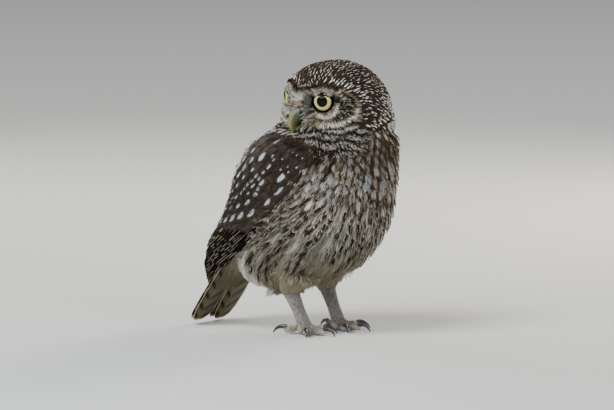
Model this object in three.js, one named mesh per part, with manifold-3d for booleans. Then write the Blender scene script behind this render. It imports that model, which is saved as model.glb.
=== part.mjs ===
// A little owl, Athene noctua, at life size. It stands upright on both feet with its wings folded
// and its head turned over its right shoulder, as a still model.
// Units are millimetres. +Z is up, the body faces -Y and the owl's own left side is at +X.
import * as THREE from "three";
import { ParametricGeometry } from "three/addons/geometries/ParametricGeometry.js";
import { mergeVertices } from "three/addons/utils/BufferGeometryUtils.js";
import Module from "manifold-3d";

const wasm = await Module();
wasm.setup();

// Driving dimensions
const GAP = 0.3; // between nodes that touch
const VANE_THICKNESS = 0.6;
const WORLD = 400; // larger than the owl, for blocks that cut away all on one side
const BODY_SIDES = 32;
const BODY_RINGS = 15;
const BODY_CROWDING = 1.25; // above 1 the rings lie closer at the belly

// Torso and neck: height, forward, half depth, half width of each level section
const BODY_SECTIONS = [
  [28.5, -29, 12, 10],
  [32, -28, 23, 21],
  [38, -25, 34, 30],
  [46, -20, 45, 36.5],
  [60, -14, 53, 41.5],
  [76, -7.5, 55.5, 43.5],
  [90, -3, 55, 43.5],
  [105, 0.5, 53.5, 43.5],
  [120, 3, 51, 42.5],
  [128, 5.5, 49.5, 39],
  [136, 11.5, 42, 34],
  [146, 13, 35.5, 31],
  [158, 13, 33, 30],
];
const BODY_LOW = 28;
const BODY_HIGH = 158;
// The parallel cuts below and above the neck, at the head's middle; both rise towards the back
const NECK_LOW = 115;
const NECK_HIGH = 128;
const NECK_TILT = THREE.MathUtils.degToRad(14);

// The surface that the folded wings lie on: height, forward, half depth, half width
const WING_GUIDE = [
  [25, -58, 32, 24],
  [33, -53, 36.5, 27],
  [43, -43, 45.5, 33],
  [54, -31, 54.5, 39],
  [64, -20, 58.5, 43.5],
  [75, -11, 59.5, 46.5],
  [90, -4.5, 57, 47.5],
  [105, -1, 54.5, 47],
  [120, 2.5, 51.5, 45.5],
  [132, 7, 47, 43],
];
// Height, and the turn from straight ahead, in degrees, of a wing's front edge and back edge
const WING_EDGES = [
  [25, 162, 172],
  [34, 152, 171],
  [54, 126, 170],
  [68, 110, 168],
  [93, 90, 162],
  [121, 69, 150],
  [132, 65, 145],
];
const WING_TOP = 130;
const WING_DROP = 100;

// Head, in its own frame: centre, turn to the right, nod down and tilt
const HEAD_CENTRE = [0, 13, 146];
const HEAD_TURN = THREE.MathUtils.degToRad(105);
const HEAD_NOD = THREE.MathUtils.degToRad(3);
const HEAD_TILT = THREE.MathUtils.degToRad(2.5);
// Half sizes, then how round the back and how flat the face is, and how close the rings lie on the face
const HEAD = { width: 36.5, height: 36, nape: 34.5, face: 30.5, roundBack: 2.1, flatFace: 3, crowding: 1.15 };
const HEAD_SIDES = 30;
const HEAD_RINGS = 16;

// Eyes, in the head's frame
const EYE = { side: 18.5, forward: 28.3, up: 11.6, radius: 8.5, iris: 6.7, splay: 24 };
const LID = { thickness: 0.6, upperDrop: 4.3, play: 0.3 };

const FEET = {
  right: { side: -1, footForward: -2, heelForward: -13 },
  left: { side: 1, footForward: 3, heelForward: -8 },
};
const FOOT_OUT = 16; // from the middle plane to a foot's joint
const FOOT_JOINT = 6;
const HEEL = { out: 17.5, up: 30 };
const THIGH = { out: 18, forward: -6, up: 47, upper: 14, lower: 7.4 };
const SHANK = { upper: 6.2, middle: 4.1, lower: 4.4 };
const LEG_CUT = 0.12; // share of the shank, from either end, where it is parted from thigh and foot
const PALM = { radius: 5.6, height: 4.2 };
// Each toe: turn outwards from straight ahead in degrees, and its length from the foot's joint
const TOES = {
  inner: { turn: -38, length: 14 },
  middle: { turn: 2, length: 17.5 },
  outer: { turn: 52, length: 14.5 },
  hind: { turn: 158, length: 14 },
};
const TOE = { root: 3.4, pad: 2.9, waist: 2.4, end: 2.5 };
const CLAW = { bend: 6.2, start: 22, sweep: 92, root: 1.55, tip: 0.28, sunk: 1.6, up: 4.2 };

// The tail starts where it leaves the body, and its feathers' roots run on into the body
const TAIL = { forward: -60.5, up: 52, slope: 56, length: 58, rooted: 10 };
// Each pair of tail feathers outwards from the middle: turn, step aside, step down and shortening
const TAIL_FEATHERS = { pairs: 6, width: 12.5, fan: 2.3, step: 0.8, down: 1, overlap: 0.22, shorter: 0.9 };

// A point from the owl's own left, forward and up
const at = (left, forward, up) => new THREE.Vector3(left, -forward, up);
const lerp = THREE.MathUtils.lerp;
const radians = THREE.MathUtils.degToRad;
const bell = (distance, spread) => Math.exp(-((distance / spread) ** 2));
const ramp = (x, low, high) => THREE.MathUtils.smoothstep(x, low, high);

// Rows of [key, values...] become a smooth function from the key to the values
function smoothTable(rows) {
  const keys = rows.map((row) => row[0]);
  const values = rows.flatMap((row) => row.slice(1));
  const curve = new THREE.CubicInterpolant(keys, values, rows[0].length - 1);
  return (key) => [...curve.evaluate(THREE.MathUtils.clamp(key, keys[0], keys.at(-1)))];
}

// A closed geometry as a solid for joining and cutting, turned so that its faces point outwards
function solidOf(geometry) {
  const bare = geometry.clone();
  bare.deleteAttribute("normal");
  bare.deleteAttribute("uv");
  const merged = mergeVertices(bare, 1e-3);
  const vertices = merged.getAttribute("position").array;
  const faces = [];
  let volume = 0;
  const [a, b, c] = [0, 1, 2].map(() => new THREE.Vector3());
  for (let i = 0; i < merged.index.count; i += 3) {
    const face = [0, 1, 2].map((k) => merged.index.array[i + k]);
    if (new Set(face).size < 3) continue;
    faces.push(face);
    [a, b, c].forEach((corner, k) => corner.fromArray(vertices, face[k] * 3));
    volume += a.dot(b.cross(c));
  }
  if (volume < 0) faces.forEach((face) => face.reverse());
  const mesh = new wasm.Mesh({
    numProp: 3,
    vertProperties: vertices,
    triVerts: new Uint32Array(faces.flat()),
  });
  return new wasm.Manifold(mesh);
}

// The largest closed surface of a solid, so that no loose scrap or sealed hollow stays
function largest(solid) {
  return solid.decompose().sort((a, b) => b.volume() - a.volume())[0];
}

const union = (solids) => solids.reduce((joined, next) => joined.add(next));

// A round body from rings that close to a point at both ends
function loft(point, sides, rings) {
  return solidOf(new ParametricGeometry((u, v, target) => target.copy(point(u, v)), sides, rings));
}

// A tube along a curve: size(v) gives its half width and half height, and both ends are rounded off
function limb(curve, size, sides, rings, widthAxis) {
  return loft(
    (u, v) => {
      const centre = curve.getPoint(v);
      const along = curve.getTangent(v);
      const across = widthAxis.clone().addScaledVector(along, -widthAxis.dot(along)).normalize();
      const over = new THREE.Vector3().crossVectors(along, across);
      const [wide, high] = v === 0 || v === 1 ? [0, 0] : size(v);
      const turn = u * 2 * Math.PI;
      return centre
        .addScaledVector(across, wide * Math.cos(turn))
        .addScaledVector(over, high * Math.sin(turn));
    },
    sides,
    rings,
  );
}

function ball(centre, radius, sides = 14, rings = 9) {
  const geometry = new THREE.SphereGeometry(radius, sides, rings);
  geometry.translate(centre.x, centre.y, centre.z);
  return solidOf(geometry);
}

function block(width, depth, height, matrix) {
  return solidOf(new THREE.BoxGeometry(width, depth, height).applyMatrix4(matrix));
}

// A closed thin plate from four-cornered rings, with both faces split along the same diagonals
function plate(rings) {
  const positions = rings.flatMap((ring) => ring.flatMap((corner) => corner.toArray()));
  const index = [0, 1, 2, 0, 2, 3];
  for (let i = 0; i + 1 < rings.length; i += 1) {
    for (let k = 0; k < 4; k += 1) {
      const next = (k + 1) % 4;
      const [p, q, r, s] = [i * 4 + k, i * 4 + next, i * 4 + 4 + next, i * 4 + 4 + k];
      index.push(...(k === 2 ? [p, r, q, p, s, r] : [p, s, q, q, s, r]));
    }
  }
  const last = (rings.length - 1) * 4;
  index.push(last, last + 2, last + 1, last, last + 3, last + 2);
  const geometry = new THREE.BufferGeometry();
  geometry.setAttribute("position", new THREE.Float32BufferAttribute(positions, 3));
  geometry.setIndex(index);
  return solidOf(geometry);
}

// Share of a vane's length, and its width there as a share of the full width
const VANE_SHAPE = [
  [0, 0.5],
  [0.5, 1],
  [0.85, 0.88],
  [1, 0.36],
];

// One feather on a surface. root and tip are places on it, and surface gives a point and its normal.
function vane({ surface, root, tip, width, lift, tilt = 0, side = 1 }) {
  const rings = VANE_SHAPE.map(([share, spread]) => {
    const place = (v) => surface(lerp(root[0], tip[0], v), lerp(root[1], tip[1], v));
    const { point, normal } = place(share);
    const along = place(share + 0.02).point.sub(place(share - 0.02).point).normalize();
    const across = new THREE.Vector3().crossVectors(normal, along).normalize();
    const half = (width * spread) / 2;
    const height = lerp(lift[0], lift[1], share);
    const corner = (sign, top) =>
      point
        .clone()
        .addScaledVector(across, sign * half)
        .addScaledVector(normal, height + (sign * side * tilt * spread) / 2 + (top * VANE_THICKNESS) / 2);
    return [corner(-1, 1), corner(1, 1), corner(1, -1), corner(-1, -1)];
  });
  return plate(rings);
}

// Body
const bodySection = smoothTable(BODY_SECTIONS);

function bodySolid(grow = 0) {
  return loft(
    (u, v) => {
      const height = lerp(BODY_LOW, BODY_HIGH, v ** BODY_CROWDING);
      const [forward, depth, width] = bodySection(height);
      const open = v === 0 || v === 1 ? 0 : 1;
      const turn = u * 2 * Math.PI;
      return at(
        open * (width + grow) * Math.sin(turn),
        forward + open * (depth + grow) * Math.cos(turn),
        height + grow * lerp(-1, 1, v),
      );
    },
    BODY_SIDES,
    BODY_RINGS,
  );
}

// Head
const headMatrix = new THREE.Matrix4()
  .makeTranslation(at(...HEAD_CENTRE))
  .multiply(new THREE.Matrix4().makeRotationZ(-HEAD_TURN))
  .multiply(new THREE.Matrix4().makeRotationX(HEAD_NOD))
  .multiply(new THREE.Matrix4().makeRotationY(HEAD_TILT));
const onHead = (left, forward, up) => at(left, forward, up).applyMatrix4(headMatrix);
const headWay = (left, forward, up) => at(left, forward, up).transformDirection(headMatrix);

// The face's forms: how far each stands out, and how far it spreads
const FACE = {
  socket: { rise: -1.2, wide: 9, tall: 8.5, up: 10.6 },
  brow: { rise: 2.2, tall: 4.6, up: 19.5, slope: 0.1, dip: 5, middle: 5, ends: [27, 35] },
  rim: { rise: 1.8, side: 14, up: 6, radius: 22, wide: 3, ends: [8, 20] },
  lores: { rise: 3.2, wide: 7, tall: 11, up: 3 },
  chin: { rise: 1.6, wide: 12, tall: 5, up: -17 },
};

// How far the face stands out or lies in, from the places across and up on it
function faceRelief(across, up) {
  const side = Math.abs(across);
  const { socket, brow, rim, lores, chin } = FACE;
  const browUp = brow.up + brow.slope * side - brow.dip * bell(side, brow.middle);
  const fromEye = Math.hypot(side - rim.side, up - rim.up);
  return (
    socket.rise * bell(side - EYE.side, socket.wide) * bell(up - socket.up, socket.tall) +
    brow.rise * bell(up - browUp, brow.tall) * (1 - ramp(side, ...brow.ends)) +
    rim.rise * bell(fromEye - rim.radius, rim.wide) * (1 - ramp(up, ...rim.ends)) +
    lores.rise * bell(side, lores.wide) * bell(up - lores.up, lores.tall) +
    chin.rise * bell(side, chin.wide) * bell(up - chin.up, chin.tall)
  );
}

function headSolid(grow = 0) {
  return loft(
    (u, v) => {
      const polar = Math.PI * v ** HEAD.crowding;
      const turn = u * 2 * Math.PI;
      const [front, out] = [Math.cos(polar), Math.sin(polar)];
      const reach = front > 0 ? HEAD.face : HEAD.nape;
      const edge = 1 / Math.hypot(Math.cos(turn) / HEAD.height, Math.sin(turn) / HEAD.width);
      const power = lerp(HEAD.roundBack, HEAD.flatFace, ramp(front, -0.3, 0.3));
      const base = ((Math.abs(front) / reach) ** power + (out / edge) ** power) ** (-1 / power);
      const relief = faceRelief(base * out * Math.sin(turn), base * out * Math.cos(turn));
      const radius = base + relief * ramp(front, 0.15, 0.5) + grow;
      const open = v === 0 || v === 1 ? 0 : 1;
      return onHead(
        open * radius * out * Math.sin(turn),
        radius * front,
        open * radius * out * Math.cos(turn),
      );
    },
    HEAD_SIDES,
    HEAD_RINGS,
  );
}

const EYES = { left: 1, right: -1 };

function eyeFrame(sign) {
  const splay = radians(EYE.splay) * sign;
  const way = headWay(Math.sin(splay), Math.cos(splay), 0);
  const depth = Math.sqrt(EYE.radius ** 2 - EYE.iris ** 2);
  const centre = onHead(EYE.side * sign, EYE.forward, EYE.up).addScaledVector(way, -depth);
  return { centre, way };
}

// Cuts the eye's room into the head, and leaves lids round the part of the eye that shows
function withLids(head, sign) {
  const { centre, way } = eyeFrame(sign);
  const room = EYE.radius + GAP;
  const up = headWay(0, 0, 1);
  const basis = new THREE.Matrix4().makeBasis(new THREE.Vector3().crossVectors(way, up).normalize(), way, up);
  const tube = new THREE.CylinderGeometry(EYE.iris + LID.play, EYE.iris + LID.play, EYE.radius, 14);
  const place = centre.clone().addScaledVector(way, EYE.radius);
  const opening = solidOf(tube.applyMatrix4(basis.clone().setPosition(place)));
  const over = centre.clone().addScaledVector(up, LID.upperDrop + EYE.radius).addScaledVector(way, EYE.radius);
  const upperLid = block(EYE.radius * 4, EYE.radius * 4, EYE.radius * 2, basis.clone().setPosition(over));
  return head
    .add(ball(centre, room + LID.thickness))
    .subtract(ball(centre, room))
    .subtract(opening.subtract(upperLid));
}

// Bill, along curves in the head's frame: left, forward, up
const UPPER_BILL = [
  [0, 25, 5.5],
  [0, 31.5, 4.5],
  [0, 36, 1],
  [0, 38.8, -4.5],
  [0, 37.9, -10.5],
];
// Share of the bill's length, half width, half height; the swelling near the root is the cere
const UPPER_BILL_SIZE = [
  [0, 4.4, 4.6],
  [0.22, 5, 5.6],
  [0.42, 4.3, 4.6],
  [0.6, 3.5, 3.8],
  [0.8, 2.2, 2.7],
  [1, 0.5, 0.6],
];
const LOWER_BILL = [
  [0, 25, -4],
  [0, 31.5, -5.8],
  [0, 36.6, -8.8],
];
const LOWER_BILL_SIZE = [
  [0, 5, 3],
  [0.5, 4.2, 2.6],
  [1, 1, 0.7],
];
const NOSTRIL = { side: 3.6, forward: 34.4, up: 5.4, radius: 1.1 };

const billUpperSize = smoothTable(UPPER_BILL_SIZE);
const billLowerSize = smoothTable(LOWER_BILL_SIZE);
const headCurve = (points) => new THREE.CatmullRomCurve3(points.map((p) => onHead(...p)));

function upperBill(grow = 0) {
  const size = (v) => billUpperSize(v).map((half) => half + grow);
  return limb(headCurve(UPPER_BILL), size, 12, 10, headWay(1, 0, 0));
}

function lowerBill(grow = 0) {
  const size = (v) => billLowerSize(v).map((half) => half + grow);
  return limb(headCurve(LOWER_BILL), size, 12, 6, headWay(1, 0, 0));
}

// Wings
const guideSection = smoothTable(WING_GUIDE);
const wingEdges = smoothTable(WING_EDGES);

function guidePoint(turn, height, side) {
  const [forward, depth, width] = guideSection(height);
  return at(side * width * Math.sin(turn), forward + depth * Math.cos(turn), height);
}

// A place on a folded wing: down runs from shoulder to tip, and over from the back edge to the front edge
const wingSurface = (side) => (down, over) => {
  const height = WING_TOP - WING_DROP * down;
  const [front, back] = wingEdges(height).map(radians);
  const turn = lerp(back, front, over);
  const point = guidePoint(turn, height, side);
  const level = guidePoint(turn + 0.02, height, side).sub(guidePoint(turn - 0.02, height, side));
  const slope = guidePoint(turn, height + 0.5, side).sub(guidePoint(turn, height - 0.5, side));
  const normal = new THREE.Vector3().crossVectors(level, slope).multiplyScalar(side).normalize();
  return { point, normal };
};

// The arm under the coverts, as a pad that the feathers grow from
const ARM = { end: 0.6, over: 0.3, under: -5, sides: 16, rings: 7 };

function armSolid(side) {
  const surface = wingSurface(side);
  return loft(
    (u, v) => {
      const down = ARM.end * v;
      const outside = u < 0.5;
      const share = outside ? u * 2 : 2 - u * 2;
      const open = v === 0 || v === 1 ? 0 : 1;
      const { point, normal } = surface(down, lerp(0.5, lerp(0.02, 0.98, share), open));
      const round = Math.sqrt(Math.sin(Math.PI * share)) * open;
      return point.addScaledVector(normal, outside ? ARM.over * round : lerp(0, ARM.under, round));
    },
    ARM.sides,
    ARM.rings,
  );
}

// Rows of wing feathers, with roots and tips as [down, over] of the first and the last one.
// lift is the height over the arm's surface at root and tip, and stack the rise from one to the next.
const WING_ROWS = {
  primaries: {
    count: 5,
    roots: [[0.46, 0.92], [0.46, 0.5]],
    tips: [[0.88, 0.86], [0.86, 0.2]],
    reach: 0.13,
    width: [8, 10],
    lift: [-3.2, -3.2],
    stack: 0.8,
    tilt: 0,
  },
  secondaries: {
    count: 5,
    roots: [[0.4, 0.82], [0.36, 0.12]],
    tips: [[0.78, 0.76], [0.7, 0.12]],
    width: [12, 14],
    lift: [-0.9, 1.4],
  },
  primary_coverts: {
    count: 2,
    roots: [[0.24, 0.96], [0.3, 0.84]],
    tips: [[0.52, 0.96], [0.56, 0.84]],
    width: [8, 9],
    lift: [-1.4, 0.4],
  },
  greater_coverts: {
    count: 6,
    roots: [[0.26, 0.88], [0.3, 0.12]],
    tips: [[0.49, 0.84], [0.54, 0.12]],
    width: [11, 12.5],
    lift: [-0.6, 2.8],
  },
  median_coverts: {
    count: 5,
    roots: [[0.13, 0.9], [0.15, 0.28]],
    tips: [[0.34, 0.88], [0.37, 0.26]],
    width: [12, 12],
    lift: [-0.6, 3.2],
  },
  lesser_coverts: {
    count: 4,
    roots: [[0.02, 0.88], [0.03, 0.4]],
    tips: [[0.19, 0.88], [0.22, 0.36]],
    width: [13, 13],
    lift: [-0.8, 3.3],
  },
};
const SCAPULARS = {
  count: 5,
  start: 0.01,
  step: 0.075,
  reach: 0.21,
  over: [0.3, 0.14],
  narrowing: 0.8,
  width: 14,
  lift: [-0.8, 4.6],
};
const ROW_TILT = 1.8;

function wingRow(side, row) {
  const surface = wingSurface(side);
  return Array.from({ length: row.count }, (_, k) => {
    const share = k / (row.count - 1);
    const mix = (pair, i) => lerp(pair[0][i], pair[1][i], share);
    const extra = (row.reach ?? 0) * Math.sin(Math.PI * share ** 0.8);
    const rise = (row.stack ?? 0) * k;
    return vane({
      surface,
      root: [mix(row.roots, 0), mix(row.roots, 1)],
      tip: [mix(row.tips, 0) + extra, mix(row.tips, 1)],
      width: lerp(row.width[0], row.width[1], share),
      lift: row.lift.map((height) => height + rise),
      tilt: row.tilt ?? ROW_TILT,
      side,
    });
  });
}

function scapularRow(side) {
  const surface = wingSurface(side);
  return Array.from({ length: SCAPULARS.count }, (_, k) => {
    const down = SCAPULARS.start + SCAPULARS.step * k;
    const over = lerp(SCAPULARS.over[0], SCAPULARS.over[1], k / (SCAPULARS.count - 1));
    return vane({
      surface,
      root: [down, over],
      tip: [down + SCAPULARS.reach, over * SCAPULARS.narrowing],
      width: SCAPULARS.width,
      lift: SCAPULARS.lift,
      side,
    });
  });
}

function wingSolid(side, body) {
  const rows = Object.values(WING_ROWS).flatMap((row) => wingRow(side, row));
  return largest(union([armSolid(side), ...rows, ...scapularRow(side)]).subtract(body));
}

// Tail, in a plane that slopes down behind the rump
const tailSlope = radians(TAIL.slope);
const tailWay = at(0, -Math.cos(tailSlope), -Math.sin(tailSlope));
const tailNormal = at(0, -Math.sin(tailSlope), Math.cos(tailSlope));
const tailRoot = at(0, TAIL.forward, TAIL.up);
const tailPlace = (along, across, lift = 0) =>
  tailRoot
    .clone()
    .addScaledVector(tailWay, along)
    .addScaledVector(at(1, 0, 0), across)
    .addScaledVector(tailNormal, lift);
const tailSurface = (along, across) => ({ point: tailPlace(along, across), normal: tailNormal.clone() });

// Upper and under tail coverts: count, where they start and end along the tail, spread, width, lift
const TAIL_COVERTS = [
  { count: 4, start: -6, end: 24, spread: 9, width: 12, lift: [0, 4.6] },
  { count: 4, start: -8, end: 27, spread: 9, width: 13, lift: [0, -5.5] },
];
const TAIL_BASE = { start: -14, end: 22, width: 12, thickness: 4.6, fullest: 0.65 };

function tailFeathers() {
  const feathers = [];
  const { pairs, width, fan, step, down, overlap, shorter } = TAIL_FEATHERS;
  for (let k = 0; k < pairs; k += 1) {
    for (const sign of [-1, 1]) {
      const turn = radians(fan * (k + 0.5)) * sign;
      const root = [-TAIL.rooted, step * (k + 0.5) * sign];
      const length = TAIL.length - shorter * k;
      const height = (pairs / 2 - 0.5 - k) * down + sign * overlap;
      feathers.push(
        vane({
          surface: tailSurface,
          root,
          tip: [length * Math.cos(turn), root[1] + length * Math.sin(turn)],
          width,
          lift: [height * 0.7, height],
        }),
      );
    }
  }
  return feathers;
}

function tailSolid(body) {
  const base = limb(
    new THREE.LineCurve3(tailPlace(TAIL_BASE.start, 0), tailPlace(TAIL_BASE.end, 0)),
    (v) => {
      const round = Math.sin(Math.PI * v ** TAIL_BASE.fullest);
      return [TAIL_BASE.width * Math.sqrt(round), TAIL_BASE.thickness * round];
    },
    14,
    7,
    at(1, 0, 0),
  );
  const coverts = TAIL_COVERTS.flatMap((row) =>
    Array.from({ length: row.count }, (_, k) => {
      const across = row.spread * ((2 * k) / (row.count - 1) - 1);
      const shorter = Math.abs(across) * 0.5;
      return vane({
        surface: tailSurface,
        root: [row.start, across * 0.7],
        tip: [row.end - shorter, across * 1.1],
        width: row.width,
        lift: [row.lift[0], row.lift[1] - Math.sign(row.lift[1]) * Math.abs(across) * 0.08],
      });
    }),
  );
  return largest(union([base, ...tailFeathers(), ...coverts]).subtract(body));
}

// Legs
// A toe's middle line: share of its length from the foot's joint, and height
const TOE_LINE = [
  [-0.12, 5],
  [0.3, 4],
  [0.65, 2.9],
  [1.04, 3],
];

function toeCurve(foot, toe) {
  const turn = radians(toe.turn) * foot.side;
  const reach = (share, up) =>
    at(
      foot.side * FOOT_OUT + Math.sin(turn) * toe.length * share,
      foot.footForward + Math.cos(turn) * toe.length * share,
      up,
    );
  return new THREE.CatmullRomCurve3(TOE_LINE.map(([share, up]) => reach(share, up)));
}

const toeSize = smoothTable([
  [0, TOE.root],
  [0.3, TOE.root * 0.86],
  [0.45, TOE.waist],
  [0.62, TOE.pad],
  [0.78, TOE.waist],
  [0.9, TOE.end],
  [1, TOE.end * 0.5],
]);

function clawSolid(foot, toe, grow = 0) {
  const turn = radians(toe.turn) * foot.side;
  const out = at(Math.sin(turn), Math.cos(turn), 0);
  const base = at(foot.side * FOOT_OUT, foot.footForward, CLAW.up).addScaledVector(out, toe.length - CLAW.sunk);
  const points = [0, 0.25, 0.5, 0.75, 1].map((share) => {
    const slope = radians(CLAW.start - CLAW.sweep * share);
    const first = radians(CLAW.start);
    return base
      .clone()
      .addScaledVector(out, CLAW.bend * (Math.sin(first) - Math.sin(slope)))
      .add(at(0, 0, CLAW.bend * (Math.cos(slope) - Math.cos(first))));
  });
  const size = (v) => {
    const half = lerp(CLAW.root, CLAW.tip, v ** 1.2) + grow;
    return [half * 0.85, half];
  };
  return limb(new THREE.CatmullRomCurve3(points), size, 8, 7, at(Math.cos(turn), -Math.sin(turn), 0));
}

function legSolid(foot) {
  const joint = at(foot.side * FOOT_OUT, foot.footForward, FOOT_JOINT);
  const heel = at(foot.side * HEEL.out, foot.heelForward, HEEL.up);
  const hip = at(foot.side * THIGH.out, THIGH.forward, THIGH.up);
  const side = at(1, 0, 0);
  const round = (half) => [half, half];
  const thigh = limb(
    new THREE.CatmullRomCurve3([hip, heel.clone().lerp(hip, 0.4), heel.clone().lerp(joint, LEG_CUT)]),
    (v) => round(lerp(THIGH.upper, THIGH.lower, v) * Math.sqrt(1 - (2 * v - 1) ** 6)),
    14,
    8,
    side,
  );
  const shankSize = smoothTable([
    [0, SHANK.upper],
    [0.55, SHANK.middle],
    [1, SHANK.lower],
  ]);
  const shank = limb(
    new THREE.LineCurve3(heel.clone().lerp(joint, -0.15), joint.clone().lerp(heel, -0.02)),
    (v) => round(shankSize(v)[0]),
    12,
    7,
    side,
  );
  const palm = new THREE.SphereGeometry(PALM.radius, 12, 8).scale(1, 1, PALM.height / PALM.radius);
  palm.translate(joint.x, joint.y, PALM.height * 0.86);
  const toes = Object.values(TOES).map((toe) =>
    limb(toeCurve(foot, toe), (v) => round(toeSize(v)[0]), 8, 8, at(1, 1, 0).normalize()),
  );
  const under = block(WORLD, WORLD, WORLD, new THREE.Matrix4().makeTranslation(0, 0, -WORLD / 2));
  return union([thigh, shank, solidOf(palm), ...toes]).subtract(under);
}

// A block that fills all space past a plane, so that two of them part a body with a thin cut
function beyond(point, way) {
  const turn = new THREE.Quaternion().setFromUnitVectors(new THREE.Vector3(0, 0, 1), way);
  const place = point.clone().addScaledVector(way, (WORLD + GAP) / 2);
  return block(WORLD, WORLD, WORLD, new THREE.Matrix4().compose(place, turn, new THREE.Vector3(1, 1, 1)));
}

const nodes = {};

const headRaw = headSolid();
const bodyRaw = bodySolid();
const whole = headRaw.add(bodyRaw);
const wholeGrown = headSolid(GAP * 1.3).add(bodySolid(GAP * 1.5));

const cutWay = at(0, Math.sin(NECK_TILT), Math.cos(NECK_TILT));
const torsoCut = at(0, HEAD_CENTRE[1], NECK_LOW);
const headCut = at(0, HEAD_CENTRE[1], NECK_HIGH);
const downWay = cutWay.clone().negate();

nodes.torso = largest(whole.intersect(beyond(torsoCut, downWay)));
nodes.neck = largest(whole.intersect(beyond(torsoCut, cutWay)).intersect(beyond(headCut, downWay)));
let head = whole.intersect(beyond(headCut, cutWay));
for (const sign of Object.values(EYES)) head = withLids(head, sign);
nodes.head = largest(head.subtract(upperBill(GAP)).subtract(lowerBill(GAP)));

for (const [name, sign] of Object.entries(EYES)) {
  nodes[`eye_${name}`] = ball(eyeFrame(sign).centre, EYE.radius);
}

const nostrils = [-1, 1].map((sign) =>
  ball(onHead(sign * NOSTRIL.side, NOSTRIL.forward, NOSTRIL.up), NOSTRIL.radius, 8, 6),
);
nodes.bill_upper = largest(upperBill().subtract(union(nostrils)));
nodes.bill_lower = largest(lowerBill().subtract(upperBill(GAP)));

nodes.wing_left = wingSolid(1, wholeGrown);
nodes.wing_right = wingSolid(-1, wholeGrown);
nodes.tail = tailSolid(wholeGrown);

for (const [name, foot] of Object.entries(FEET)) {
  const claws = Object.values(TOES).map((toe) => clawSolid(foot, toe, GAP));
  const leg = legSolid(foot).subtract(wholeGrown).subtract(union(claws));
  const joint = at(foot.side * FOOT_OUT, foot.footForward, FOOT_JOINT);
  const heel = at(foot.side * HEEL.out, foot.heelForward, HEEL.up);
  const way = heel.clone().sub(joint).normalize();
  const kneeCut = heel.clone().lerp(joint, LEG_CUT);
  const ankleCut = joint.clone().lerp(heel, LEG_CUT);
  nodes[`thigh_${name}`] = largest(leg.intersect(beyond(kneeCut, way)));
  nodes[`shank_${name}`] = largest(
    leg.intersect(beyond(kneeCut, way.clone().negate())).intersect(beyond(ankleCut, way)),
  );
  nodes[`foot_${name}`] = largest(leg.intersect(beyond(ankleCut, way.clone().negate())));
  for (const [toeName, toe] of Object.entries(TOES)) {
    nodes[`claw_${toeName}_${name}`] = clawSolid(foot, toe);
  }
}

const FINISHES = {
  plumage: { color: 0x9a8f80, roughness: 0.9, metalness: 0 },
  flight_feather: { color: 0x4a3b30, roughness: 0.75, metalness: 0 },
  leg_feather: { color: 0xb9b0a4, roughness: 0.9, metalness: 0 },
  bill_horn: { color: 0x9d9a5a, roughness: 0.4, metalness: 0 },
  claw_horn: { color: 0x23252b, roughness: 0.3, metalness: 0 },
  eye: { color: 0xc9c25a, roughness: 0.05, metalness: 0 },
};
const FINISH_OF = [
  [/^(torso|neck|head)/, "plumage"],
  [/^(wing|tail)/, "flight_feather"],
  [/^(thigh|shank|foot)/, "leg_feather"],
  [/^bill/, "bill_horn"],
  [/^claw/, "claw_horn"],
  [/^eye/, "eye"],
];

function meshOf(name, solid) {
  const { numProp, vertProperties, triVerts } = solid.getMesh();
  if (numProp !== 3) throw new Error(`${name} has more than positions`);
  const geometry = new THREE.BufferGeometry();
  geometry.setAttribute("position", new THREE.BufferAttribute(vertProperties, 3));
  geometry.setIndex(new THREE.BufferAttribute(triVerts, 1));
  geometry.computeVertexNormals();
  const finish = FINISH_OF.find(([pattern]) => pattern.test(name))[1];
  const mesh = new THREE.Mesh(geometry, new THREE.MeshStandardMaterial(FINISHES[finish]));
  mesh.name = name;
  return mesh;
}

// The origin is the middle of the owl's own box, on the floor
const owl = new THREE.Group();
for (const [name, solid] of Object.entries(nodes)) owl.add(meshOf(name, solid));
const box = new THREE.Box3().setFromObject(owl);
const middle = box.getCenter(new THREE.Vector3()).setZ(box.min.z);
for (const mesh of owl.children) mesh.position.sub(middle);

export default owl;
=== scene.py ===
import logging
import math
from collections.abc import Sequence
from dataclasses import dataclass, field, replace
from enum import Enum

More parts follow.
